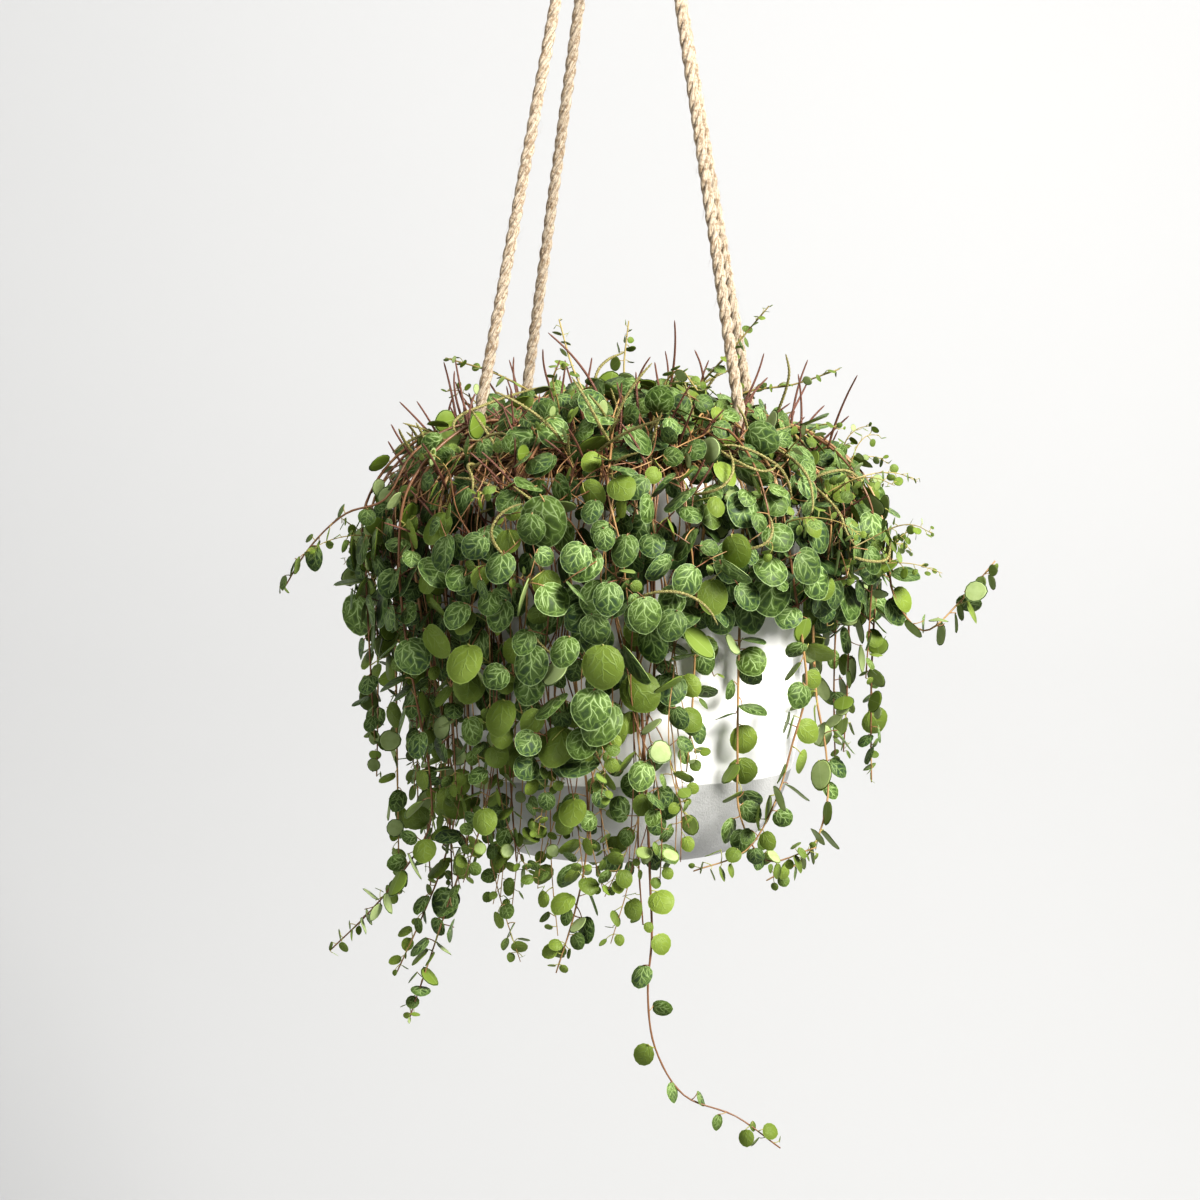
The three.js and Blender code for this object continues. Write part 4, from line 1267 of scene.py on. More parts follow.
@dataclass
class Foliage:
    """The whole plant: the CAD's stems with finer leaves, and the smaller stems that fill it."""

    pot: Pot
    ropes: RopeWork
    root_depth: float = 12.0
    stem_step: float = 27.0
    meander: float = 3.0
    mound_spacing: float = 13.0
    trail_spacing: float = 22.0
    mound_edge: float = -35.0
    largest: float = 14.6
    smallest: float = 5.2
    petiole: float = 3.2
    tries: int = 6
    clearance: float = 3.0
    sample_spacing: float = 2.4
    spike_length: float = 34.0
    fine_clearance: float = 0.95
    fill_count: int = 150
    runner_count: int = 64
    cover_tries: int = 14000
    top_tries: int = 6000
    long_spikes: int = 44
    spray_count: int = 40
    box_spare: float = 3.0

    def rise(self, azimuth: float, ring: Ring, shoulder: float = 0.3) -> list[np.ndarray]:
        """Return a stem's route out of the soil, up through the mound and over the rim.

        Args:
            azimuth: where it crosses the rim, in degrees.
            ring: its root, crest and reach over the rim.
            shoulder: the share of the crest that it keeps outside the rim.

        Returns:
            The route's points.
        """
        pot, over = self.pot, self.pot.rim_radius + ring.out
        rim, drop = pot.rim_radius, pot.soil_drop
        return [
            polar(azimuth, ring.root, -drop - self.root_depth),
            polar(azimuth, ring.root, -drop + pot.soil_crown + 2),
            polar(azimuth, mix(ring.root, rim, 0.4), mix(-drop, ring.crest, 0.9)),
            polar(azimuth, mix(ring.root, rim, 0.82), ring.crest),
            polar(azimuth, mix(rim, over, 0.66), ring.crest * shoulder),
            polar(azimuth, over, -12),
        ]

    def hanging(self, ring: Ring, azimuth: float, drop: float, swing: float, stem: int,
                shoulder: float = 0.3) -> list[np.ndarray]:
        """Return the route of a stem that hangs straight down from the rim.

        Args:
            ring: its root, crest and reach over the rim.
            azimuth: where it crosses the rim, in degrees.
            drop: how far it hangs below the rim.
            swing: how far it drifts sideways on its way down, in degrees.
            stem: the stem's number.
            shoulder: the share of the crest that it keeps outside the rim.

        Returns:
            The route's points.
        """
        over = self.pot.rim_radius + ring.out
        points = self.rise(azimuth, ring, shoulder)
        spans = max(2, math.floor(drop / 45 + 0.5))
        for i in range(1, spans + 1):
            share = i / spans
            stray = between(-self.meander, self.meander, stem, i, 1) / over
            radius = over + between(-1, 1, stem, i, 2) - 4 * share
            points.append(polar(azimuth + swing * share + math.degrees(stray), radius,
                                mix(-12, -drop, share)))
        return points

    def sections(self, points: Sequence[np.ndarray]) -> np.ndarray:
        """Return the sections of a stem: its upright root, then its route in steps of a like length."""
        fine = Route(points[1:]).sampled(12)
        length = Walk(fine, 1).length
        step = length / math.floor(length / self.stem_step + 0.5) - 1e-6
        return np.array([points[0], *Walk(fine, step).at])

    def frame_vines(self) -> list[Vine]:
        """Return the stems that the CAD has."""
        vines = []
        for i, (ring, azimuth, drop, swing) in enumerate(TRAILS):
            route = self.hanging(ring.value, azimuth, drop, swing, i)
            vines.append(Vine(f"trail_{i + 1}", i, self.sections(route)))
        for name, ring, azimuth, tail in STRAYS:
            route = [*self.rise(azimuth, ring.value), *(np.array(point, float) for point in tail)]
            vines.append(Vine(f"trail_{name}", len(vines), self.sections(route)))
        for i, shoot in enumerate(SHOOTS):
            x, y = shoot[0][:2]
            low = -self.pot.soil_drop
            route = [np.array([x, y, low - self.root_depth], float),
                     np.array([x, y, low + self.pot.soil_crown + 2], float),
                     *(np.array(point, float) for point in shoot)]
            vines.append(Vine(f"shoot_{i + 1}", len(vines), self.sections(route), is_shoot=True))
        return vines

    def is_in_box(self, points: np.ndarray) -> bool:
        """Tell whether all points stay in the CAD's box or close to it."""
        low, high = (np.array(corner) / MM - (0, 0, self.pot.rim_z) for corner in CAD_BOX)
        return bool(((points > low - self.box_spare) & (points < high + self.box_spare)).all())

    def clears_pot(self, points: np.ndarray, margin: float) -> bool:
        """Tell whether all points keep a margin to the pot and the soil, and stay in the CAD's box."""
        pot = self.pot
        if not self.is_in_box(points):
            return False
        radius, z = np.hypot(points[:, 0], points[:, 1]), points[:, 2]
        low, high = -pot.height - margin, margin
        beyond = (z > high) | (z < low)
        wall = np.interp(z + pot.height, self.heights, self.radii)
        inside = (radius < pot.rim_radius - pot.wall - margin) & (z > pot.soil_crown - pot.soil_drop + margin)
        return bool((beyond | (radius > wall + margin) | inside).all())

    @staticmethod
    def outward(point: np.ndarray) -> np.ndarray:
        """Return the way out of the foliage: up in the mound, level where the stems hang."""
        return unit(np.array([point[0], point[1], max(0, point[2] + 35) * 1.5 + 1e-3]))

    def leaf_at(self, at: np.ndarray, along: np.ndarray, stem: int, item: int, size: float,
                attempt: int) -> Leaf:
        """Return one blade off its stem. Try numbers above 0 turn it or make it smaller.

        Args:
            at: the place on the stem.
            along: the direction of growth there.
            stem: the stem's number.
            item: the leaf's number on the stem.
            size: half the length that the blade is meant to have.
            attempt: how many tries went before.

        Returns:
            The leaf.
        """
        out = self.outward(at)
        side = unit(cross(along, out))
        hand = 1 if (item + attempt) % 2 == 0 else -1
        slew = math.radians(between(-35, 40, stem, item, attempt, 3))
        tilt = math.radians(between(-10, 38, stem, item, attempt, 4))
        roll = math.radians(between(-30, 30, stem, item, attempt, 5))
        half = size * between(0.86, 1.1, stem, item, attempt, 6) * 0.88 ** (attempt // 2)
        to_tip = unit(side * hand * math.cos(slew) + along * math.sin(slew) + out * math.sin(tilt))
        face = turned(unit(out - to_tip * out.dot(to_tip)), to_tip, roll)
        return Leaf(at, at + to_tip * (self.petiole + half), to_tip, cross(face, to_tip), face, half)

    def grow(self, vine: Vine, thicket: Thicket) -> None:
        """Set the leaves that the CAD has, larger near the soil, where nothing is in the way."""
        walk = Walk(vine.points, 1)
        largest = self.largest * (0.72 if vine.is_shoot else 1)
        smallest = mix(self.largest * 0.62, self.smallest, min(1, walk.length / 260))
        walked = self.root_depth + 16 + between(0, 5, vine.index, 11)
        item = 0
        while walked < walk.length - 3:
            place = math.floor(walked + 0.5)
            size = mix(largest, smallest, (walked / walk.length) ** 1.8)
            for attempt in range(self.tries):
                leaf = self.leaf_at(walk.at[place], walk.along[place], vine.index, item, size, attempt)
                samples = leaf.samples(self.sample_spacing)
                if self.clears_pot(samples, 2.6) and thicket.is_free(samples, vine.index):
                    thicket.claim(samples, -2)
                    vine.leaves.append(leaf)
                    break
            spacing = self.mound_spacing if walk.at[place][2] > self.mound_edge else self.trail_spacing
            walked += (spacing * (0.55 + 0.45 * size / largest)
                       * between(0.85, 1.15, vine.index, item, 8))
            item += 1

    def frame_spike(self, vine: Vine, thicket: Thicket) -> None:
        """Set the curved flower spike that the CAD has on every other stem."""
        walk = Walk(vine.points, 1)
        place = math.floor(walk.length * between(0.35, 0.6, vine.index, 21) + 0.5)
        at, out = walk.at[place], self.outward(walk.at[place])
        side = unit(cross(walk.along[place], out))
        hand = 1 if draw(vine.index, 22) < 0.5 else -1
        line = np.array([at + out * self.spike_length * 0.62 * math.sin(s * 1.9)
                         + side * hand * self.spike_length * 0.5 * s
                         + np.array([0, 0, self.spike_length * 0.55 * s ** 1.6]) for s in (0, 0.3, 0.65, 1)])
        samples = Walk(line, 1.5).at[3:]
        if thicket.is_free(samples, vine.index) and self.clears_pot(samples, 2):
            thicket.claim(samples, -2)
            vine.spikes.append((line, 0.0))

    def crowded(self, thicket: Thicket, vines: Sequence[Vine]) -> None:
        """Take the space of the ropes, their knots and every stem."""
        rim = np.array([0, 0, self.pot.rim_z])
        for side in self.ropes.azimuths:
            line = Walk(self.ropes.leg_points(side), 2).at - rim
            for turn in range(0, 360, 45):
                thicket.claim(line + polar(turn, self.ropes.diameter / 2, 0), -1)
            centre = self.ropes.stopper_centre(side) - rim
            ball = [(-math.cos(p) * math.sin(t), math.cos(t), math.sin(p) * math.sin(t))
                    for t in np.linspace(0, math.pi, 11) for p in np.linspace(0, math.tau, 17)]
            thicket.claim(centre + self.ropes.stopper_radius * np.array(ball), -1)
        for vine in vines:
            thicket.claim(Walk(vine.points, 1.5).at, vine.index)

    def fill_vines(self, first: int) -> list[Vine]:
        """Return the smaller stems that fill the plant out: short ones in the mound, long ones that hang."""
        azimuths, drops = zip(*FILL_DROPS)
        vines = []
        for item in range(self.fill_count):
            stem = first + item
            azimuth = (137.508 * item + between(-5, 5, stem, 31)) % 360
            if item % 5 > 2:
                azimuth = 186 + (azimuth * 0.2822) % 101
            share = draw(stem, 32)
            ring = Ring(mix(72, 20, share), mix(3, 14, share), mix(4, 30, share))
            drop = float(np.interp(azimuth, azimuths, drops)) * between(0.68, 1.12, stem, 33)
            if item % 5 == 0:
                drop = between(26, 60, stem, 35)
            swing = between(-11, 11, stem, 34)
            route = self.hanging(ring, azimuth, max(26, drop * mix(1.1, 0.75, share)), swing, stem, 0.12)
            for i, point in enumerate(route[3:], 3):
                stray = polar(azimuth + 90, between(-1, 1, stem, i, 37) * (5 if point[2] > -50 else 9), 0)
                route[i] = point + stray + polar(azimuth, between(-3, 3, stem, i, 36), 0)
            vines.append(Vine(f"fill_{item}", stem, self.sections(route), thickness=0.5))
        return vines

    def runners(self, first: int) -> list[Vine]:
        """Return the stems that rise in the mound and lie over it under the leaves, each its own way."""
        vines = []
        for item in range(self.runner_count):
            stem = first + item
            azimuth = (137.508 * item + 40) % 360
            start, end = between(0.01, 0.11, stem, 111), between(0.3, 0.72, stem, 112)
            swing, root = between(-60, 60, stem, 113), self.canopy(start, 100)[0]
            low = -self.pot.soil_drop
            line = [polar(azimuth, root, low - self.root_depth),
                    polar(azimuth, root, low + self.pot.soil_crown + 2)]
            for i in range(7):
                share = i / 6
                radius, height = self.canopy(mix(start, end, share), 100)
                depth = between(2, 11, stem, i, 114)
                hanging = min(1, max(0, (22 - height) / 40))
                turn = azimuth + swing * share ** 1.3 + between(-7, 7, stem, i, 115)
                line.append(polar(turn, radius - depth * hanging, height - depth * (1 - hanging)))
            vines.append(Vine(f"runner_{item}", stem, self.sections(line), thickness=0.5))
        return vines

    def sprays(self, vines: Sequence[Vine]) -> list[Vine]:
        """Return thin young side stems that stand out of the canopy, each off the stem nearest to it."""
        places = np.concatenate([Walk(vine.points, 2).at[16:] for vine in vines if not vine.is_shoot])
        grown = []
        for item in range(self.spray_count):
            is_far = item < 12
            azimuth = between(-45, 42, item, 101) if is_far else 360 * draw(item, 101)
            reach, height = self.canopy(mix(0.3, 0.66, draw(item, 102)) if is_far else 0.62 * draw(item, 102), 100)
            foot = polar(azimuth, reach - 10, height - 8)
            root = places[int(np.sum((places - foot) ** 2, axis=1).argmin())]
            lean = unit(self.outward(root) + np.array([0, 0, between(0.2, 1.0, item, 103)])
                        + polar(360 * draw(item, 104), 0.7, 0))
            length = between(22, 46, item, 105) + (16 if is_far else 0)
            side = polar(360 * draw(item, 106), 1, 0)
            line = [root + lean * length * s + side * 5 * math.sin(4 * s + item)
                    - np.array([0, 0, length * 0.35 * s ** 3]) for s in np.linspace(0, 1, 6)]
            if self.is_in_box(np.array(line)):
                grown.append(Vine(f"spray_{item}", 900 + item, np.array([root - 2 * lean, *line]),
                                  is_shoot=True, thickness=0.38))
        return grown

    def settle(self, leaf: Leaf, share: float) -> None:
        """Turn a blade in its own plane so that its tip hangs.

        Args:
            leaf: the leaf.
            share: how much of the way to straight down, or down the mound's slope, it goes.
        """
        slope = min(1, max(0, (leaf.middle[2] + 10) / 40))
        down = unit(np.array([leaf.middle[0], leaf.middle[1], 0]) / 110 * slope
                    + np.array([0, 0, -1.0]) * (1.15 - slope))
        flat = down - leaf.face * leaf.face.dot(down)
        if flat.dot(flat) < 0.02:
            return
        leaf.to_tip = unit(leaf.to_tip * (1 - share) + unit(flat) * share * 1.15)
        leaf.across = cross(leaf.face, leaf.to_tip)

    def snug(self, leaf: Leaf, thicket: Thicket, own: int, reach: float = 3.0) -> None:
        """Bring a blade's foot close to its stem, where there is room.

        Args:
            leaf: the leaf.
            thicket: the space already taken, in fine cubes.
            own: the stem's number.
            reach: how far from the stem the foot may stay.
        """
        gap = leaf.middle - leaf.to_tip * leaf.half * 0.95 - leaf.root
        length = math.sqrt(gap.dot(gap))
        if length <= reach:
            return
        moved = replace(leaf, middle=leaf.middle - gap * (1 - reach / length))
        samples = moved.samples(1.45, 0.1)
        if self.clears_pot(samples, 1.4) and thicket.is_free(samples, own):
            leaf.middle = moved.middle

    def thicken(self, vine: Vine, thicket: Thicket, spacing: float, largest: float, round_: int) -> None:
        """Set more leaves between those that a stem has.

        Args:
            vine: the stem.
            thicket: the space already taken, in fine cubes.
            spacing: between the new leaves.
            largest: half the length of the new blades near the soil.
            round_: what the draws are told apart by.
        """
        walk = Walk(vine.points, 1)
        walked = between(0, 6, vine.index, 41, round_)
        if not vine.is_shoot or round_ < 3:
            walked += self.root_depth + 12
        item = 500 * round_
        last = walk.length * (0.58 if vine.name == "trail_longest" else 1)
        while walked < walk.length - 1:
            if last < walked < 0.93 * walk.length:
                walked += spacing
                continue
            place = min(math.floor(walked + 0.5), len(walk.at) - 1)
            grown = walked / walk.length
            size = largest * float(np.interp(grown, (0, 0.45, 0.88, 0.96, 1), (1, 0.86, 0.68, 0.4, 0.2)))
            size *= between(0.75, 1.12, vine.index, item, 42)
            for attempt in range(4):
                leaf = self.leaf_at(walk.at[place], walk.along[place], vine.index, item, size, attempt)
                roll = math.radians(between(-65, 65, vine.index, item, attempt, 46))
                if draw(vine.index, item, 47) < 0.12:
                    roll += math.pi
                leaf.face = turned(leaf.face, leaf.to_tip, roll)
                leaf.across = cross(leaf.face, leaf.to_tip)
                pitch = math.radians(between(-38, 38, vine.index, item, attempt, 49))
                leaf.face, leaf.to_tip = (turned(way, leaf.across, pitch) for way in (leaf.face, leaf.to_tip))
                foot = leaf.middle - leaf.to_tip * (leaf.half + self.petiole * 0.3)
                self.settle(leaf, between(0.2, 0.9, vine.index, item, 44))
                leaf.middle = foot + leaf.to_tip * leaf.half
                samples = leaf.samples(1.45, 0.1)
                if self.is_above(leaf.middle) and not vine.is_shoot:
                    continue
                if self.clears_pot(samples, 1.4) and thicket.is_free(samples, vine.index):
                    thicket.claim(samples, -2)
                    self.tone(leaf, vine.index, item)
                    vine.leaves.append(leaf)
                    break
            walked += spacing * between(0.8, 1.2, vine.index, item, 43) * min(1, max(0.3, 5 * (1 - grown)))
            item += 1

    def cover(self, vines: Sequence[Vine], thicket: Thicket) -> None:
        """Close the canopy: set leaves over the mound and the shoulders, each on the stem nearest to it.

        Args:
            vines: all stems.
            thicket: the space already taken, in fine cubes.
        """
        walks = [Walk(vine.points, 2) for vine in vines]
        places = np.concatenate([walk.at[8:] for walk in walks])
        owner = np.concatenate([np.full(len(walk.at[8:]), i) for i, walk in enumerate(walks)])
        azimuths, limits = zip(*COVER_LIMITS)
        for item in range(self.cover_tries):
            azimuth = 360 * draw(item, 81)
            limit = float(np.interp(azimuth, azimuths, limits))
            on_top = item < self.top_tries
            reach, height = self.canopy(draw(item, 82) * (0.6 if on_top else 1), limit)
            if height < -60 and draw(item, 80) < (-60 - height) / (limit - 10):
                continue
            depth = 9 * draw(item, 83) if on_top else 30 * draw(item, 83) ** 1.2
            hanging = min(1, max(0, (22 - height) / 40))
            middle = polar(azimuth, max(4, reach - depth * hanging), height - depth * (1 - hanging))
            if self.is_above(middle):
                continue
            size = mix(6.4, 9.6, hanging) * between(0.64, 1.1, item, 84)
            if 250 < azimuth < 304:
                size *= 1.16
            gaps = np.sum((places - middle) ** 2, axis=1)
            near = int(gaps.argmin())
            if not (4 if on_top else 9) < gaps[near] < float(np.interp(height, (-110, -40), (11, 24))) ** 2:
                continue
            vine = vines[owner[near]]
            loose = 0.5 if draw(item, 89) < 0.35 else 1.7
            out = unit(self.outward(middle) + polar(azimuth, between(0, 0.9, item, 90), 0) + loose * np.array(
                [between(-1, 1, item, 85), between(-1, 1, item, 86), between(-0.7, 1, item, 87)]))
            away = middle - places[near]
            to_tip = unit(away / 16 + np.array([0, 0, -0.9 * hanging]) + polar(azimuth, 0.6 * (1 - hanging), 0)
                          + polar(360 * draw(item, 88), 0.5, 0))
            to_tip = unit(to_tip - out * out.dot(to_tip))
            leaf = Leaf(places[near], middle, to_tip, cross(out, to_tip), out, size)
            for shrink in (1, 0.82, 0.66):
                leaf.half = size * shrink
                samples = leaf.samples(1.45, 0.1)
                if self.clears_pot(samples, 1.4) and thicket.is_free(samples, vine.index, on_top):
                    thicket.claim(samples, -2)
                    self.tone(leaf, 900, item)
                    vine.leaves.append(leaf)
                    break

    @staticmethod
    def canopy(share: float, limit: float) -> tuple[float, float]:
        """Return radius and height of the canopy's surface at a share of its area.

        Args:
            share: from 0 in the middle of the mound to 1 at its lower edge.
            limit: how far below the rim the closed canopy reaches.

        Returns:
            The radius from the pot's axis and the height above the rim.
        """
        radii, heights = zip(*CANOPY, (137, -0.62 * limit), (118, -limit))
        areas = [0.0]
        for i in range(1, len(radii)):
            slant = math.hypot(radii[i] - radii[i - 1], heights[i] - heights[i - 1])
            areas.append(areas[-1] + slant * (radii[i] + radii[i - 1]) / 2)
        spot = share * areas[-1]
        return float(np.interp(spot, areas, radii)), float(np.interp(spot, areas, heights))

    @staticmethod
    def is_above(point: np.ndarray) -> bool:
        """Tell whether a place is above the mound's outline."""
        radius = math.hypot(point[0], point[1]) + 15 * min(1, max(0, -point[0] / 90 - 0.2))
        return point[2] > np.interp(radius, (0, 41, 81, 102, 116, 130, 144), (66, 58, 44, 31, 19, 0, -30))

    def tone(self, leaf: Leaf, *keys: int) -> None:
        """Give a leaf its age, tint and pattern seed, and paint shade on it by lowering its youth below zero where it
        lies deep inside the canopy.
        """
        leaf.tint = draw(*keys, 51)
        young = np.interp(leaf.half, (2.2, 4.6), (0.7, 0.0))
        hanging = float(np.interp(leaf.middle[2], (-130, -60), (0.42, 0.12)))
        plain = 0.9 if draw(*keys, 52) < hanging else 0.0
        leaf.youth_and_depth_shade = float(min(1, max(young, plain) + 0.15 * draw(*keys, 53)))
        # painted shade: the deeper a leaf lies under the canopy's outline, the further its youth goes below zero,
        # which darkens it
        radius = math.hypot(leaf.middle[0], leaf.middle[1])
        outer, height = float(np.interp(-leaf.middle[2], *self.outline)), float(np.interp(radius, *CANOPY_T))
        depth = min(outer - radius, height - leaf.middle[2] if radius < 130 else 99)
        leaf.youth_and_depth_shade -= float(np.interp(depth, (5, 24), (0.0, 1.3)) * np.interp(leaf.middle[2], (-75, -38), (0, 1)))
        leaf.seed = 40 * draw(*keys, 54)

    def add_spikes(self, vine: Vine, thicket: Thicket) -> None:
        """Stand slender flower spikes up out of the mound along a stem."""
        walk = Walk(vine.points, 1)
        for item in range(3):
            if draw(vine.index, item, 61) > 0.4:
                continue
            place = int(between(26, 120, vine.index, item, 62))
            if place >= len(walk.at) - 1:
                continue
            at = walk.at[place]
            out = unit(self.outward(at) + np.array([0, 0, 0.9])
                       + polar(360 * draw(vine.index, item, 63), 0.6, 0))
            bend = polar(360 * draw(vine.index, item, 64), 1, -0.3)
            length = between(14, 42, vine.index, item, 65)
            young = 1.0 if draw(vine.index, item, 66) < 0.74 else 0.0
            curl = between(0.05, 0.3, vine.index, item, 67) * (1 if young else 3.2)
            line = np.array([at + out * length * s + bend * length * curl * s ** 2
                             for s in np.linspace(0, 1, 5)])
            samples = Walk(line, 1.5).at[3:]
            if self.clears_pot(samples, 1.5) and line[-1][2] < 84:
                thicket.claim(samples, -2)
                vine.spikes.append((line, young))

    def lay_spikes(self, vines: Sequence[Vine], thicket: Thicket) -> None:
        """Lay long curved flower spikes over the front of the leaves, each off the stem nearest to it."""
        places = np.concatenate([Walk(vine.points, 2).at for vine in vines])
        owner = np.concatenate([np.full(len(Walk(vine.points, 2).at), i) for i, vine in enumerate(vines)])
        for item in range(self.long_spikes):
            azimuth, height = between(208, 332, item, 121), between(-105, 30, item, 122)
            turn = 360 * draw(item, 123)
            curl = between(30, 130, item, 124) * (1 if draw(item, 127) < 0.5 else -1)
            step, lift, line = between(26, 48, item, 125) / 6, between(4, 8, item, 126), []
            for i in range(7):
                radius = float(np.interp(-height, *self.outline))
                line.append(polar(azimuth, radius - 6 + (6 + lift) * math.sin(min(1.0, i / 3) * math.pi / 2), height))
                way = math.radians(turn + curl * i / 6)
                azimuth += math.degrees(math.cos(way) * step / 130)
                height += math.sin(way) * step
            near = int(np.sum((places - line[0]) ** 2, axis=1).argmin())
            vine, shift = vines[owner[near]], places[near] - line[0]
            if shift.dot(shift) > 64:
                continue
            line = np.array(line) + np.outer(np.linspace(1, 0, 7), shift)
            samples = Walk(line, 1.5).at[4:]
            if self.clears_pot(samples, 1.5) and thicket.is_free(samples, vine.index, True):
                thicket.claim(samples, -2)
                vine.spikes.append((line, 0.0))

    def grown(self) -> tuple[list[Vine], list[Vine]]:
        """Grow the whole plant.

        Returns:
            The CAD's stems and the filling stems, with all their leaves and spikes.
        """
        self.heights = np.linspace(0, self.pot.height, 400)
        self.radii = np.array([self.pot.radius_at(height) for height in self.heights])
        self.outline = [-height for height in CANOPY_T[1]], CANOPY_T[0]
        vines = self.frame_vines()
        coarse = Thicket(self.clearance)
        self.crowded(coarse, vines)
        for vine in vines:
            self.grow(vine, coarse)
            if not vine.is_shoot and vine.index % 2 == 0:
                self.frame_spike(vine, coarse)
        fill = self.fill_vines(len(vines))
        fill += self.runners(len(vines) + len(fill))
        fine = Thicket(self.fine_clearance)
        self.crowded(fine, [*vines, *fill])
        for vine in vines:
            for item, leaf in enumerate(vine.leaves):
                share = 0.46 if vine.is_shoot else float(np.interp(leaf.middle[2], (-150, -40), (0.66, 0.74)))
                if leaf.middle[0] < -40:
                    share *= 0.84
                share *= float(np.interp(leaf.half, (5, 8), (0.62, 1)))
                if self.is_above(leaf.middle):
                    share *= 0.75
                leaf.middle = leaf.middle - leaf.to_tip * leaf.half * (1 - share) * 0.9
                leaf.half *= share
                self.settle(leaf, between(0.3, 0.85, vine.index, item, 45))
                leaf.face = turned(leaf.face, unit(leaf.to_tip), math.radians(between(-58, 58, vine.index, item, 48)))
                leaf.across = cross(leaf.face, leaf.to_tip)
                self.snug(leaf, fine, vine.index)
                self.tone(leaf, vine.index, item)
                fine.claim(leaf.samples(1.3, 0.1), -2)
            for line, _ in vine.spikes:
                fine.claim(Walk(line, 1.2).at[3:], -2)
        for vine in [*vines, *fill]:
            if not vine.is_shoot:
                self.add_spikes(vine, fine)
        self.lay_spikes([*vines, *fill], fine)
        self.cover([*vines, *fill], fine)
        for vine in vines:
            spacing = 14.0 if vine.name == "trail_longest" else 5.5 if vine.index >= len(TRAILS) else 7.5
            self.thicken(vine, fine, spacing, 9.4 if not vine.is_shoot else 4.6, 1)
        for vine in fill:
            self.thicken(vine, fine, 6.5, 9.0, 2)
        sprays = self.sprays([*vines, *fill])
        for vine in sprays:
            self.thicken(vine, fine, 3.6, 3.4, 3)
        return vines, [*fill, *sprays]

    def blade(self, sides: int, droop: float, fold: float, wave: float) -> Shape:
        """Model a round, fleshy blade.

        Args:
            sides: how many sides its outline has.
            droop: how far its sides and tip bend down.
            fold: how far its halves fold up along the midrib.
            wave: how far its margin waves.

        Returns:
            The blade, with half length 1, its tip along +Y and its face along +Z.
        """
        form = bmesh.new()
        bmesh.ops.create_circle(form, cap_ends=True, segments=sides, radius=1)
        bmesh.ops.rotate(form, cent=ORIGIN, matrix=Matrix.Rotation(math.pi / 2, 3, "Z"), verts=form.verts[:])
        rim = form.edges[:]
        top = form.faces[:][0]
        bmesh.ops.inset_region(form, faces=[top], thickness=0.07, use_boundary=True, use_even_offset=False)
        bmesh.ops.poke(form, faces=[top])
        upper = set(form.faces)
        grown = bmesh.ops.extrude_edge_only(form, edges=rim)["geom"]
        under = [item for item in grown if isinstance(item, bmesh.types.BMVert)]
        edge = [item for item in grown if isinstance(item, bmesh.types.BMEdge)]
        bmesh.ops.scale(form, vec=(0.96, 0.96, 1), verts=under)
        closing = bmesh.ops.edgeloop_fill(form, edges=edge)["faces"]
        bmesh.ops.inset_region(form, faces=closing, thickness=0.06, use_even_offset=False)
        bmesh.ops.poke(form, faces=closing)
        layer = form.loops.layers.uv.verify()
        above = {vert for face in upper for vert in face.verts}
        for face in form.faces:
            face.smooth = True
            face.material_index = (Tissue.BLADE if face in upper else Tissue.UNDERSIDE).value
            for loop in face.loops:
                loop[layer].uv = (loop.vert.co.x / 2 + 0.5, loop.vert.co.y / 2 + 0.5)
        for vert in form.verts:
            x, y, _ = vert.co
            reach = math.hypot(x, y)
            ahead = y / reach if reach > 0.1 else 0
            point, notch = max(0, ahead) ** 7 * reach ** 2, max(0, -ahead) ** 10 * reach ** 3
            ripple = wave * reach ** 2 * math.sin(3 * math.atan2(y, x) + 40 * wave)
            bend = fold * abs(x) - droop * (x * x + 0.8 * y * abs(y)) + ripple - 0.03 * notch
            dome = 0.03 * (1 - reach ** 6) if vert in above else -0.035 - 0.02 * (1 - reach ** 4)
            vert.co = (x * (1 - 0.3 * fold * fold), y + 0.10 * point + 0.07 * notch, dome + bend)
        bmesh.ops.recalc_face_normals(form, faces=form.faces[:])
        return Shape.of(form)

    def stalk(self) -> Shape:
        """Return a thin arched stalk of length 1 along +Y, whose radius is 1 before it is sized."""
        share = np.linspace(0, 1, 4)
        line = np.column_stack([0 * share, share * 10, 1.6 * np.sin(math.pi * share)])
        shape = sweep(line, [1, 0.8, 0.75, 0.8], 4, Tissue.STEM.value)
        return replace(shape, points=shape.points * (1, 0.1, 1))

    def spike(self, line: np.ndarray, young: float) -> Shape:
        """Model a flower spike along a line, beaded when grown and slender when young."""
        fine = Walk(Route(line).sampled(16), 0.9).at
        share = np.linspace(0, 1, len(fine))
        thick = 0.68 if young else 0.78
        bead = 0.0 if young else 0.2
        radii = thick * (1 + bead * np.cos(np.arange(len(fine)) * math.pi)) \
            * np.interp(share, (0, 0.15, 0.7, 0.95, 1), (0.7, 1, 0.9 if not young else 0.75, 0.6, 0.25))
        return sweep(self.placed(fine), radii * MM, 6, Tissue.SPIKE.value)

    def placed(self, points: np.ndarray) -> np.ndarray:
        """Return points relative to the rim as places in metres."""
        return (points + np.array([0, 0, self.pot.rim_z])) * MM

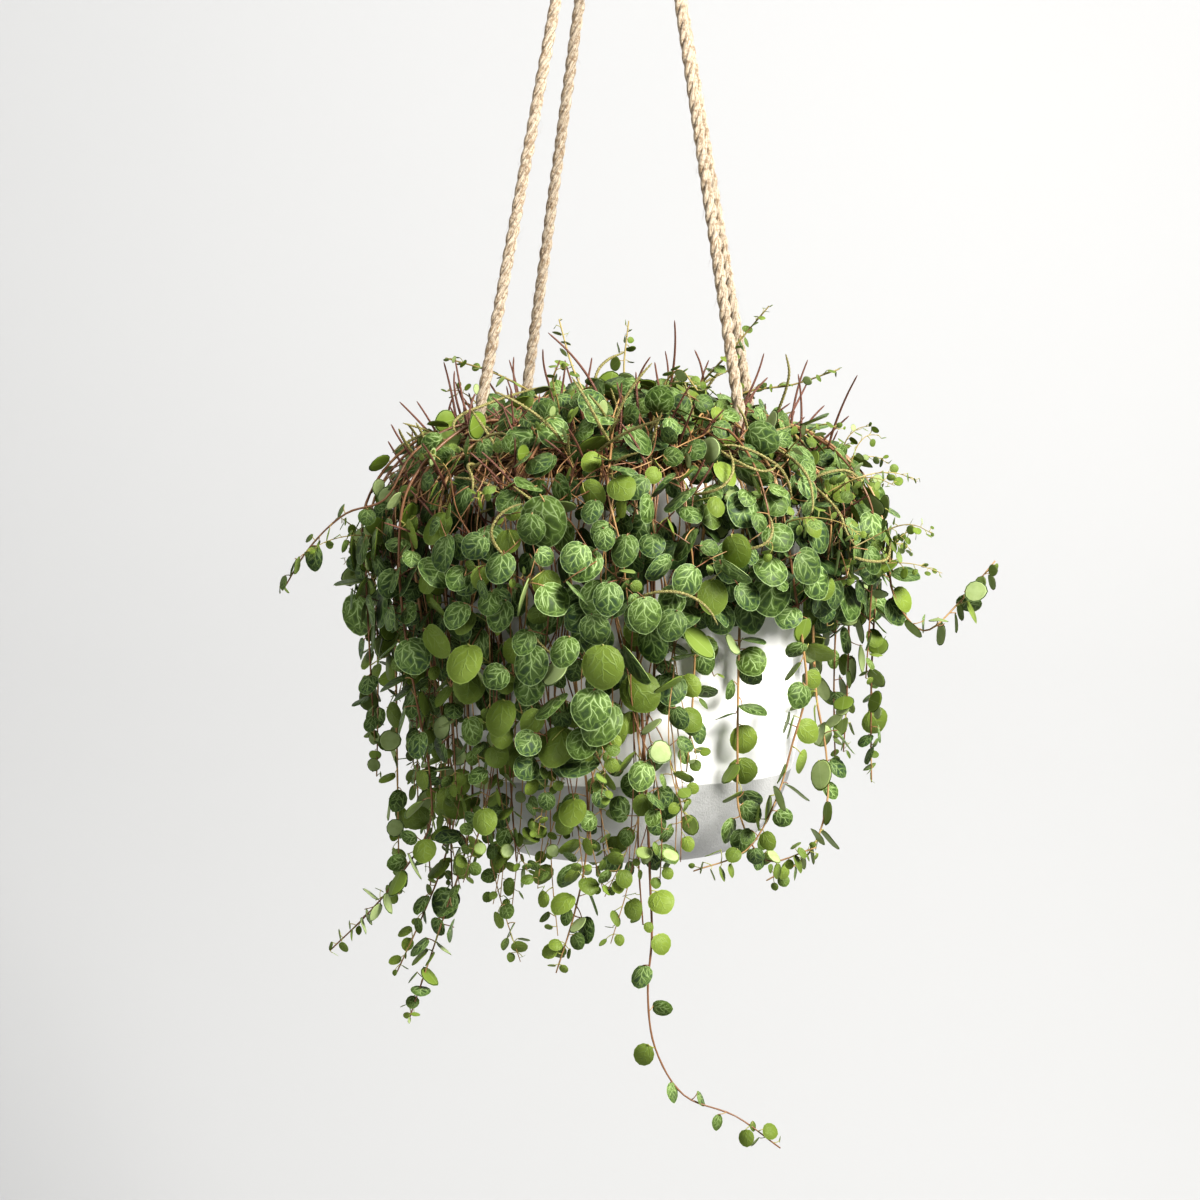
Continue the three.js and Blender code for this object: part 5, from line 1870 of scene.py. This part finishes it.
    def dress(self, cluster: Cluster, vine: Vine) -> None:
        """Put a stem with all its leaves and spikes into a cluster."""
        smooth = Route(vine.points[1:]).sampled(6)
        line = np.array([vine.points[0], *smooth])
        share = np.linspace(0, 1, len(line))
        knots = 1 + 0.10 * np.cos(np.arange(len(line)) * 2.1)
        radii = vine.thickness * knots * np.interp(share, (0, 0.5, 1), (1.15, 0.85, 0.45))
        tint = draw(vine.index, 71)
        cluster.add(sweep(self.placed(line), radii * MM, 5, Tissue.STEM.value),
                    growth_and_depth_shade=(tint, 0.5 if vine.is_shoot else 0.1, 0))
        for leaf in vine.leaves:
            root = smooth[int(np.sum((smooth - leaf.root) ** 2, axis=1).argmin())]
            span = leaf.middle - leaf.to_tip * leaf.half * 0.90 - root
            length = max(0.4, math.sqrt(span.dot(span)))
            way = span / length
            wide = unit(cross(way, leaf.face) + 1e-6)
            up = cross(wide, way)
            thin = float(np.interp(leaf.half, (2, 9), (0.24, 0.42)))
            stalk = np.column_stack([wide * thin, way * (length + 0.1 * leaf.half), up * thin, root])
            blade = np.column_stack([leaf.across * leaf.half * (0.86 + leaf.seed % 0.21), leaf.to_tip * leaf.half,
                                     leaf.face * leaf.half, leaf.middle])
            pick = self.blades_fine if leaf.half > 6.0 else self.blades_plain
            shape = pick[int(leaf.seed * 10) % len(pick)]
            for part, matrix in ((self.stalk_shape, stalk), (shape, blade)):
                matrix[2, 3] += self.pot.rim_z
                cluster.add(part, matrix * MM, (leaf.tint, leaf.youth_and_depth_shade, leaf.seed))
        for spike_line, young in vine.spikes:
            cluster.add(self.spike(spike_line, young), growth_and_depth_shade=(tint, young, vine.index))

    def build(self) -> None:
        """Grow the plant and make its pieces."""
        bends = ((0.0, 0.05, 0.02), (0.02, 0.0, 0.03), (0.05, 0.10, 0.015), (-0.04, 0.04, -0.03),
                 (0.02, 0.18, 0.0), (0.03, -0.05, 0.03))
        self.blades_fine = [self.blade(16, *bend) for bend in bends]
        self.blades_plain = [self.blade(12, *bend) for bend in bends]
        self.stalk_shape = self.stalk()
        tissues = [StemFinish().material(), BladeFinish().material(), UndersideFinish().material(),
                   SpikeFinish().material()]
        vines, fill = self.grown()
        leaves = sum(len(vine.leaves) for vine in [*vines, *fill])
        spikes = sum(len(vine.spikes) for vine in [*vines, *fill])
        log.info("%d stems, %d leaves, %d spikes", len(vines) + len(fill), leaves, spikes)
        for vine in vines:
            cluster = Cluster()
            self.dress(cluster, vine)
            install(cluster.build(f"{vine.name}_leafy", tissues), [vine.name])
        sectors = 8
        for sector in range(sectors):
            cluster = Cluster()
            for vine in fill:
                x, y = vine.points[-1][:2]
                if int((math.degrees(math.atan2(y, x)) % 360) // (360 / sectors)) == sector:
                    self.dress(cluster, vine)
            install(cluster.build(f"filling_stems_{sector + 1}", tissues))


def main() -> None:
    """Build every sub-assembly in order."""
    logging.basicConfig(level=logging.INFO, format="%(name)s: %(message)s")
    Studio().build()
    ropes = RopeWork()
    ropes.build()
    pot = Pot()
    pot.build_wall(ropes)
    pot.build_soil()
    Foliage(pot, ropes).build()


if __name__ == "__main__":
    main()
